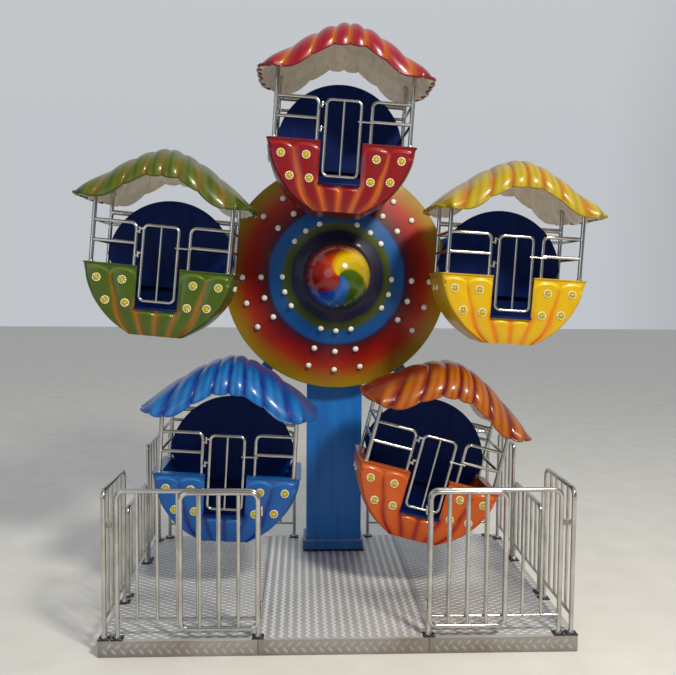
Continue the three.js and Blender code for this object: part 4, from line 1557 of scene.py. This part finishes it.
    def tub(self) -> None:
        """The scallop bowl: lobed outside, thin rim, plain inside and a doorway with its jambs."""
        columns = [(name, i / steps) for name, steps in STRETCHES for i in range(steps)]
        names = [side for side, _ in columns]
        sill, bottom = self.door_way[2], self.bowl[-1][0]
        depths = np.unique(np.round(np.concatenate([
            [0.0, 0.003, 0.010, 0.014], np.linspace(0.020, 0.092, 13), np.linspace(0.1, sill, 15),
            np.linspace(sill, 0.4, 17), np.linspace(0.4, bottom, 9)]), 5))
        outside, paints = np.zeros((len(depths), len(columns), 3)), np.zeros((3, len(depths), len(columns)))
        for r, depth in enumerate(depths):
            half, reach = self.size_at(depth)
            flange = 1 - float(smooth(depth, 0.008, 0.014))
            brow = self.brow_share + (1 - self.brow_share) * flange
            brow *= self.lobe * (1 - float(smooth(depth, *self.brow_fade)))
            for c, (side, share) in enumerate(columns):
                at, outward = self.place_on(side, share, half - self.lobe, reach - self.lobe)
                push, paint, light = self.around(side, share, at.x, depth)
                push = max(push, brow)
                at += outward * (push - (0.003 if depth == 0.0 else 0.0))
                # Painted shade, darker towards the tub's bottom and in the hollows between the lobes; light
                # is the painted highlight.
                shade = 0.5 * float(smooth(depth, 0.40, bottom)) + 0.5 * (1 - push / self.lobe) ** 2
                outside[r, c] = at.x, at.y, self.rim - depth
                paints[:, r, c] = paint, light, shade
        keep = np.array([[not (name == "door" and depth < sill) for name in names]
                         for depth in (depths[:-1] + depths[1:]) / 2])
        patch = Patch()
        patch.grid(outside, True, 0, keep, groove=paints[0], crest=paints[1], deep=paints[2])
        self.lining(patch, columns, depths, outside, keep)
        self.finish(patch, "shell_tub", f"{self.livery}_shell", "tub",
                    [self.shop.shells[self.livery], self.shop.navy], 48.0)

    def lining(self, patch: Patch, columns: list[tuple[str, float]], depths: Array,
               outer: Array, keep: Array) -> None:
        """Line the tub and close it: flat rim, bottom, inside floor, door jambs and the dark sill.

        Args:
            patch: Where it goes.
            columns: The columns round the tub.
            depths: The depth of each row.
            outer: The outside's points.
            keep: Which of its quads are there.
        """
        rings = []
        for depth in depths[:-1]:
            half, reach = self.size_at(depth)
            # The lip reaches in over the wall, which runs parallel to the outside.
            inset = self.lip if depth < self.wall else self.wall + self.lobe
            ring = [self.place_on(*column, half - inset, reach - inset)[0] for column in columns]
            rings.append([(at.x, at.y, self.rim - depth) for at in ring])
        inner = np.array(rings)
        turned = inner[:, ::-1]
        shown = np.roll(keep[:-1, ::-1], -1, axis=1)
        # The ends are in the shell's colour, the middle is painted navy as the board is.
        painted = self.bowl[1][1] - 0.09
        slots = (np.abs(turned[:-1, :, 0]) <= painted)[shown].astype(int).tolist()
        patch.grid(turned, True, slots, shown)
        names = [side for side, _ in columns]
        count = len(names)
        left, right, depth = self.door_way
        sill = int(np.argmin(np.abs(depths - depth)))
        for c, name in enumerate(names):
            n = (c + 1) % count
            row, slot = (sill, 1) if name == "door" else (0, 0)
            quad = [outer[row, c], outer[row, n], inner[row, n], inner[row, c]]
            patch.add(quad, [range(4)], slot)
        # The outside of the bottom is painted in the darker tone, as painted shade.
        patch.add(outer[-1], [range(count)[::-1]], 0, deep=0.8)
        patch.add(inner[-1], [range(count)], 1)
        for name, order in (("door", (0, 1, 2, 3)), ("front_right", (0, 3, 2, 1))):
            c = names.index(name)
            for r in range(sill):
                patch.add([outer[r, c], outer[r + 1, c], inner[r + 1, c], inner[r, c]], [order])
        front, z = self.middle_y - self.bowl[0][2], self.rim - depth
        patch.box((left, front + 0.004, z - 0.014), (right, front + 0.05, z + 0.001), 0.002, 1)

    def roof_top(self, x: Array | float) -> Array | float:
        """Height of the canopy's ridge across the cabin."""
        return self.roof_tip + self.roof_rise * (1 - np.abs(x / self.roof_half) ** 1.5)

    def eaves(self, x: Array, share: float) -> Array:
        """Height of the canopy's eaves across the cabin: level near the tips, arched between.

        Args:
            x: Distances from the middle.
            share: The share of the half depth, -1 at the front and 1 at the rear.
        Returns:
            The heights.
        """
        arch = smooth(self.arch_half - np.abs(x), 0.0, self.arch_ease)
        lift = self.rear_lift * (share + 1) / 2
        return self.roof_tip - self.eaves_drop + (self.eaves_rise + lift) * arch

    def roof_y(self, share: float | Array) -> float | Array:
        """Where a share of the canopy's half depth lies."""
        front, rear = self.roof_reach
        return (front + rear) / 2 + (rear - front) / 2 * share

    def roof_row(self, s: Array, turn: float) -> dict[str, Array]:
        """One row of the canopy, from tip to tip.

        Args:
            s: Where each column is, counted in flute edges from the middle.
            turn: Angle over the cross section, zero at the front eaves and pi at the rear.
        Returns:
            The outside's and the underside's points, and the three painted values.
        """
        lean = -math.cos(turn)
        power = 2 / self.roundness[int(lean >= 0)]
        # The share of the half depth, and of the height between eaves and ridge.
        share, height = math.copysign(abs(lean) ** power, lean), abs(math.sin(turn)) ** power
        away, fall = np.abs(s), abs(share)
        edge_x, ridge_x = (np.sign(s) * np.interp(away, range(len(self.flutes)), column)
                           for column in zip(*self.flutes))
        last = away > len(self.flutes) - 2
        puff = np.where(last, 1.0, np.abs(np.sin(np.pi * s / 2)) ** self.lobe_power[1])
        x = ridge_x + (edge_x - ridge_x) * (1 - height) ** self.fan
        top, low = self.roof_top(x), self.eaves(x, share)
        low = low - self.lobe_dip * puff * (1 - smooth(away, 6.0, 7.0))
        low = low + (top - low) * 0.5 * smooth(np.abs(x), self.roof_half - 0.03, self.roof_half)
        groove = self.flute * height * (0.45 + 0.55 * float(smooth(fall, 0.05, 0.6)))
        arch = low + (top - low) * height
        z = arch - groove * (1 - puff)
        y = self.roof_y(share * (1 - self.hem_notch * (1 - puff) * fall))
        # The tips are rounded in plan and scalloped into folds that run over them.
        ends = smooth(np.abs(x), *self.tip_start)
        fold = 1 - abs(math.sin(self.scallops * math.pi * (share + 1) / 2)) ** 0.6
        z = z - self.fold_dip * fold * ends * height
        x_out = x - np.sign(x) * (self.scallop * fold + self.tip_round * fall**4 + 0.003) * ends
        y = y - (y - self.roof_y(0.0)) * self.tip_narrow * ends**2
        wall = np.minimum(self.roof_wall, (top - low) * 0.4)
        lining = np.minimum(arch - groove / 2 - wall * (0.15 + height), z - wall * 0.5)
        lining = np.where(height < 0.02, low, lining)
        tuck = self.roof_y(0.0) + (y - self.roof_y(0.0)) * 0.972
        # The painted highlight beside each groove is strongest where the flutes roll over the eaves, and
        # painted shade darkens the canopy's top.
        front = float(smooth(fall, 0.15, 0.8) if share < 0 else smooth(fall, 0.3, 0.9))
        distance = np.where(last, 1.0, np.abs(((s + 1) % 2) - 1))
        return {"out": np.stack([x_out, y, z], axis=1),
                "under": np.stack([x_out * 0.992, tuck, lining], axis=1),
                "groove": np.exp(-((distance / 0.42) ** 2)) * (0.4 + 0.6 * front),
                "crest": np.exp(-(((distance - 0.6) / 0.3) ** 2)) * front * 0.7,
                "deep": np.full_like(x, (1 - float(smooth(fall, 0.2, 0.65))) * 0.8)}

    def canopy(self) -> None:
        """The fluted canopy: lobes that fan out and roll over both edges, over four post sockets."""
        edges, steps, rows = len(self.flutes) - 1, 208, 48
        s = np.linspace(-edges, edges, steps + 1)
        layers = [self.roof_row(s, turn) for turn in np.linspace(0, math.pi, rows + 1)]
        out, under, groove, crest, deep = (np.array([row[name] for row in layers])
                                           for name in ("out", "under", "groove", "crest", "deep"))
        patch = Patch()
        patch.grid(out[:, ::-1], groove=groove[:, ::-1], crest=crest[:, ::-1], deep=deep[:, ::-1])
        patch.grid(under, slot=1)
        for strip in ([out[0], under[0]], [under[-1], out[-1]], [under[:, 0], out[:, 0]],
                      [out[:, -1], under[:, -1]]):
            patch.grid(np.stack(strip))
        hem = np.concatenate([out[::-1, 0], out[0], out[:, -1]])
        for path, radius in ((hem, self.bead), (out[:, 0], self.end_bead), (out[:, -1], self.end_bead)):
            self.rolled_edge(patch, path, radius)
        self.sockets(patch)
        self.finish(patch, "fluted_canopy", f"{self.livery}_roof", "canopy",
                    [self.shop.roofs[self.livery], self.shop.layup, self.shop.steel], 55.0)

    def rolled_edge(self, patch: Patch, path: Array, radius: float) -> None:
        """Roll the canopy's edge into a bead that stays inside its plan.

        Args:
            patch: Where it goes.
            path: The edge's points.
            radius: The bead's radius.
        """
        apart = np.linalg.norm(np.diff(path, axis=0), axis=1) > 0.002
        path = path[np.concatenate([[True], apart])]
        inward = (path - np.array([0.0, self.roof_y(0.0), 0.0])) * np.array([1.0, 1.0, 0.0])
        patch.tube(path - inward / np.linalg.norm(inward, axis=1)[:, None] * radius, radius, 8)

    def sockets(self, patch: Patch) -> None:
        """Add the sockets that reach from the posts to just under the canopy's outside.

        Args:
            patch: Where they go.
        """
        middle = self.roof_y(0.0)
        for x, y in product((-self.post_x, self.post_x), self.post_y):
            share = (y - middle) / (self.roof_y(1.0) - middle)
            power = self.roundness[int(share >= 0)]
            low, top = (float(height) for height in (self.eaves(np.array(x), share), self.roof_top(x)))
            crown = low + (top - low) * (1 - abs(share) ** power) ** (1 / power)
            rise = crown - self.socket_gap - self.post_top
            socket = ((0.020, 0.0), (0.021, 0.002), (0.021, 0.018), (0.0195, 0.02), (0.0195, rise))
            patch.turned(socket, (x, y, self.post_top + self.seat), (0, 0, 1), 18, 2)

    def tubes(self) -> None:
        """Posts, side rails, front railings, pivot bar with its plate, shaft and hinge knuckles."""
        patch = Patch()
        x, radius = self.post_x, self.rail_radius
        front, rear = self.post_y
        foot = self.rim + self.seat
        top, middle = self.rim + self.rail_top, self.rim + self.rail_middle
        flange = ((0.026, 0.0), (0.026, 0.004), (0.018, 0.005), (0.0165, 0.012))
        for px, inner in zip((-x, x), self.inner_posts):
            for py in self.post_y:
                patch.tube([(px, py, foot), (px, py, self.post_top)], self.post_radius, 18)
                patch.turned(flange, (px, py, foot), (0, 0, 1), 20)
            path = [(px, front, top), (inner, front, top), (inner, front, foot)]
            patch.tube(bent(path, self.rail_bend, 8), radius, 14)
            patch.tube([(px, front, middle), (inner, front, middle)], radius, 14)
            for z in (top, middle):
                patch.tube([(px, front, z), (px, rear, z)], radius, 14)
                collar = [(px + math.copysign(reach, -px), front, z) for reach in (0.020, 0.0165)]
                patch.tube(collar, radius + 0.0025, 14)
        for z in (top, middle):
            patch.tube([(-x, rear, z), (x, rear, z)], radius, 14)
        patch.tube([(-x, rear, 0), (x, rear, 0)], self.pivot_bar, 16)
        half, (start, plate) = self.plate_half, (rear + behind for behind in self.plate_behind)
        patch.box((-half, start, -half), (half, plate, half), 0.003, 1)
        for x_bolt, z_bolt in product((0.025 - half, half - 0.025), repeat=2):
            patch.bolt((x_bolt, plate, z_bolt), (0, 1, 0), self.plate_bolt, 1)
        patch.tube([(0, rear, 0), (0, self.shaft_end, 0)], self.shaft - self.seat, 28, 1)
        self.knuckles(patch, self.inner_posts[0], front, 0.0)
        self.finish(patch, "tube_frame", "stainless", "frame", [self.shop.steel, self.shop.zinc])

    def knuckles(self, patch: Patch, fixed: float, start: float, lift: float) -> None:
        """Add a knuckle at each hinge height, with the strap that holds it.

        Args:
            patch: Where they go.
            fixed: Where the strap starts across the cabin.
            start: Where the strap starts from front to back.
            lift: Height of the knuckle above its hinge height.
        """
        barrel = ((0.0075, 0.0), (0.008, 0.001), (0.008, self.knuckle - 0.001), (0.0075, self.knuckle))
        y_low, y_high = sorted((start, self.door_y))
        for height in self.hinge_heights:
            z = self.rim + height + lift
            patch.turned(barrel, (self.hinge_x, self.door_y, z), (0, 0, 1), 16)
            patch.box((min(fixed, self.hinge_x), y_low - 0.004, z + 0.0045),
                      (max(fixed, self.hinge_x), y_high + 0.004, z + 0.0175), 0.001)

    def board(self) -> None:
        """The round navy back board, a painted plywood disc with a narrow foot."""
        centre = self.rim + self.board_centre
        foot = self.rim + self.board_low
        start = math.asin((self.board_cut - self.board_centre) / self.board_radius)
        outline = [(-self.board_foot, foot), (self.board_foot, foot), (self.board_waist, self.rim)]
        outline += [(self.board_radius * math.cos(a), centre + self.board_radius * math.sin(a))
                    for a in np.linspace(start, math.pi - start, 81)]
        outline.append((-self.board_waist, self.rim))
        back = self.middle_y + self.bowl[0][2] - self.lip - self.seat
        front, edge = back - self.board_thick, 0.003
        flat = np.array(outline)
        away = flat - (0.0, centre)
        away /= np.linalg.norm(away, axis=1)[:, None]
        points = np.array([[(x, y, z) for x, z in flat - away * inset] for y, inset in (
            (front, edge), (front + edge, 0.0), (back - edge, 0.0), (back, edge))])
        patch = Patch()
        patch.grid(points[::-1], True)
        patch.add(points[0], [range(len(outline))])
        patch.add(points[-1], [range(len(outline))[::-1]])
        self.finish(patch, "back_board", "navy_board", "board", [self.shop.navy], 50.0)

    def door_leaf(self) -> None:
        """The door: a bent tube loop with a middle bar, hinge knuckles and a latch bar."""
        left, right, low, high = self.door
        radius, y = self.door_tube, self.door_y
        x0, x1 = left + radius, right - radius
        z0, z1 = self.rim + low + radius, self.rim + high - radius
        half = (z0 + z1) / 2
        patch = Patch()
        loop = [(x0, y, half), (x0, y, z1), (x1, y, z1), (x1, y, z0), (x0, y, z0), (x0, y, half)]
        patch.tube(bent(loop, self.door_bend, 8), radius, 14)
        centre = (x0 + x1) / 2
        patch.tube([(centre, y, z0), (centre, y, z1)], self.door_bar, 12)
        self.knuckles(patch, x0, y, self.knuckle + self.seat)
        latch = self.rim + self.rail_middle - self.latch_out
        front, end = y - self.latch_out, self.inner_posts[1] + 0.02
        patch.tube([(self.latch_start, front, latch), (end, front, latch)], self.latch_radius, 12)
        grip = ((0.009, 0.0), (0.009, 0.012), (0.006, 0.014))
        patch.turned(grip, (x1, front, latch - 0.03), (0, 0, 1), 12)
        self.finish(patch, "door_leaf", "stainless", "door", [self.shop.steel])

    def lamps(self) -> None:
        """Eight flower-shaped lamps on the front lobes, and small ones down both ends."""
        patch = Patch()
        for way, side in ((-1, "left"), (1, "right")):
            for x, depth in self.lamp_spots:
                self.lamp_at(patch, way * x, depth)
            for share, depth in self.side_lamps:
                half, reach = self.size_at(depth)
                at, outward = self.place_on(side, share, half - self.lobe, reach - self.lobe)
                at += outward * self.around(side, share, at.x, depth)[0]
                at.z = self.rim - depth
                self.flower(patch, at, outward, self.lamp * self.side_lamp)
        self.finish(patch, "lamps", "stainless", "", [self.shop.petal, self.shop.amber, self.shop.opal])

    def front_at(self, x: float, depth: float) -> float:
        """Where the tub's front surface lies."""
        _, reach = self.size_at(depth)
        return self.middle_y - (reach - self.lobe + self.relief(x, depth, True)[0])

    def lamp_at(self, patch: Patch, x: float, depth: float) -> None:
        """Add one lamp to the front, square to the surface there.

        Args:
            patch: Where it goes.
            x: Distance from the middle.
            depth: Distance below the rim.
        """
        step = 0.02
        slope = (self.front_at(x, depth + step) - self.front_at(x, depth - step)) / (2 * step)
        lean = (self.front_at(x + step, depth) - self.front_at(x - step, depth)) / (2 * step)
        normal = Vector((lean, -1, -slope)).normalized()
        self.flower(patch, Vector((x, self.front_at(x, depth), self.rim - depth)), normal, self.lamp)

    def flower(self, patch: Patch, at: Vector, normal: Vector, radius: float) -> None:
        """Add a flower-shaped lens: opal rim, eight clear petals over dark gaps, domed middle.

        Args:
            patch: Where it goes.
            at: Its middle, on the tub.
            normal: The way it faces.
            radius: Its radius.
        """
        side = normal.orthogonal().normalized()
        other = normal.cross(side)
        count, rim_rings, gap = 48, 4, -0.35
        levels = ((1.0, -0.004, 0.0), (1.0, 0.004, 0.0), (0.95, 0.0065, 0.0), (0.88, 0.007, 0.0),
                  (0.84, 0.0055, 0.0), (0.76, 0.007, 0.0022), (0.45, 0.0075, 0.003), (0.30, 0.007, 0.0015))
        rings = [[at + (side * math.cos(turn) + other * math.sin(turn)) * radius * share
                  + normal * (height + wave * math.cos(self.petals * turn)) for turn in turns(count)]
                 for share, height, wave in levels]
        leaf = [int(math.cos(self.petals * 2 * math.pi * (count - 1.5 - i) / count) <= gap)
                for i in range(count)]
        slots = [2 if r < rim_rings else leaf[i] for r in range(len(levels) - 1) for i in range(count)]
        patch.grid(np.array(rings)[:, ::-1], True, slots)
        dome = [(radius * 0.31 * math.cos(a), 0.0065 + radius * 0.16 * math.sin(a))
                for a in np.linspace(0, math.pi / 2, 5)]
        dome[-1] = (0.0005, dome[-1][1])
        patch.turned(dome, at, normal, 16, 0)


# The studio


@dataclass
class Studio:
    """The pale floor, the soft lights and the camera at the photograph's viewing angle."""

    focal_px: float = 805.0
    frame_px: tuple[int, int] = (676, 675)
    sensor: float = 36.0
    eye: Triple = (-0.272, -6.303, 2.450)
    yaw: float = 0.0457
    pitch: float = 0.0648
    roll: float = 0.0074
    floor_half: float = 40.0
    walls: Stops = ((0.35, "E4E9EE"), (0.60, "ACB0B4"), (0.86, "A4A8AC"), (1.0, "D4DAE0"))
    ceiling: str = "EEF2F6"
    ceiling_rise: Pair = (0.15, 0.6)
    strength: Pair = (0.26, 0.68)
    lamps: tuple[tuple[str, Triple, float, float, str], ...] = (
        ("key", (3.4, -6.4, 7.8), 760.0, 1.6, "FFF6E8"), ("fill", (-5.0, -7.0, 4.0), 90.0, 5.0, "EAF2FF"))
    aim: Triple = (0.0, 0.0, 2.0)

    def build(self) -> None:
        """Build the camera, the floor, the world and the lights."""
        bpy.context.scene.view_settings.view_transform = "Standard"
        self.camera()
        self.floor()
        self.world()
        self.lights()

    def camera(self) -> None:
        """Aim the camera: yaw to the right, pitch down and a slight roll."""
        data = bpy.data.cameras.new("view")
        data.sensor_width = self.sensor
        data.lens = self.focal_px / self.frame_px[0] * self.sensor
        data.clip_end = 100
        camera = bpy.data.objects.new("view", data)
        turn = Matrix.Rotation(-self.yaw, 4, "Z") @ Matrix.Rotation(math.pi / 2 - self.pitch, 4, "X")
        camera.matrix_world = Matrix.Translation(self.eye) @ turn @ Matrix.Rotation(self.roll, 4, "Z")
        bpy.context.scene.collection.objects.link(camera)
        bpy.context.scene.camera = camera

    def floor(self) -> None:
        """A wide pale floor under the ride."""
        half, z = self.floor_half, -0.001
        patch = Patch()
        patch.add([(-half, -half, z), (half, -half, z), (half, half, z), (-half, half, z)], [(0, 1, 2, 3)])
        patch.settle("studio_floor", "", [], [SCREED.material()])

    def world(self) -> None:
        """A pale studio: brightest overhead, with greyer side walls that draw edges on bright tube."""
        world = bpy.data.worlds.new("studio")
        bpy.context.scene.world = world
        world.use_nodes = True
        tree = world.node_tree
        add = partial(add_node, tree)
        axes = add("SeparateXYZ", {0: add("TexCoord", out="Generated")}).node.outputs
        aside = add("Math", {0: axes["X"]}, operation="ABSOLUTE")
        walls = add("ValToRGB", {0: aside}, self.walls)
        low, high = self.ceiling_rise
        overhead = add("MapRange", {0: axes["Z"], 1: low, 2: high})
        sky = add("Mix", {0: overhead, 6: walls, 7: self.ceiling}, **BLEND)
        near, far = self.strength
        ahead = add("MapRange", {0: axes["Y"], 1: -0.9, 2: 0.3, 3: near, 4: far})
        background = tree.nodes["Background"]
        tree.links.new(sky, background.inputs["Color"])
        tree.links.new(ahead, background.inputs["Strength"])

    def lights(self) -> None:
        """A high key from the right and a broad weak fill from the front left."""
        for name, at, power, size, colour in self.lamps:
            data = bpy.data.lights.new(name, "AREA")
            data.shape = "DISK"
            data.energy = power
            data.size = size
            data.color = linear(colour)[:3]
            light = bpy.data.objects.new(name, data)
            light.location = at
            light.rotation_euler = (Vector(self.aim) - Vector(at)).to_track_quat("-Z", "Y").to_euler()
            bpy.context.scene.collection.objects.link(light)


# The panels that carry nothing more, with the number of their balusters.
PLAIN_PANELS = (("left_middle", 5), ("left_rear", 3), ("right_middle", 5), ("right_rear", 3),
                ("back_left", 8), ("back_right", 8))


def build_fences(shop: Shop) -> None:
    """Build every fixed panel and both gate leaves.

    Args:
        shop: The finishes.
    """
    for place, balusters in PLAIN_PANELS:
        FencePanel(shop, f"fence_{place}", balusters).build()
    for side in ("left", "right"):
        TiedPanel(shop, f"fence_{side}_front", 4).build()
        GatePost(shop, f"fence_front_{side}", 6).build()
    for side, gate in (("left", Body.LEFT_GATE), ("right", Body.RIGHT_GATE)):
        GateLeaf(shop, f"gate_{side}", 3, body=gate).build()


def main() -> None:
    """Build the studio and every sub-assembly."""
    logging.basicConfig(level=logging.INFO, format="%(name)s: %(message)s")
    Studio().build()
    shop = open_shop()
    Platform(shop).build()
    Column(shop).build()
    build_fences(shop)
    Wheel(shop).build()
    for livery in Livery:
        Cabin(shop, livery).build()


if __name__ == "__main__":
    main()
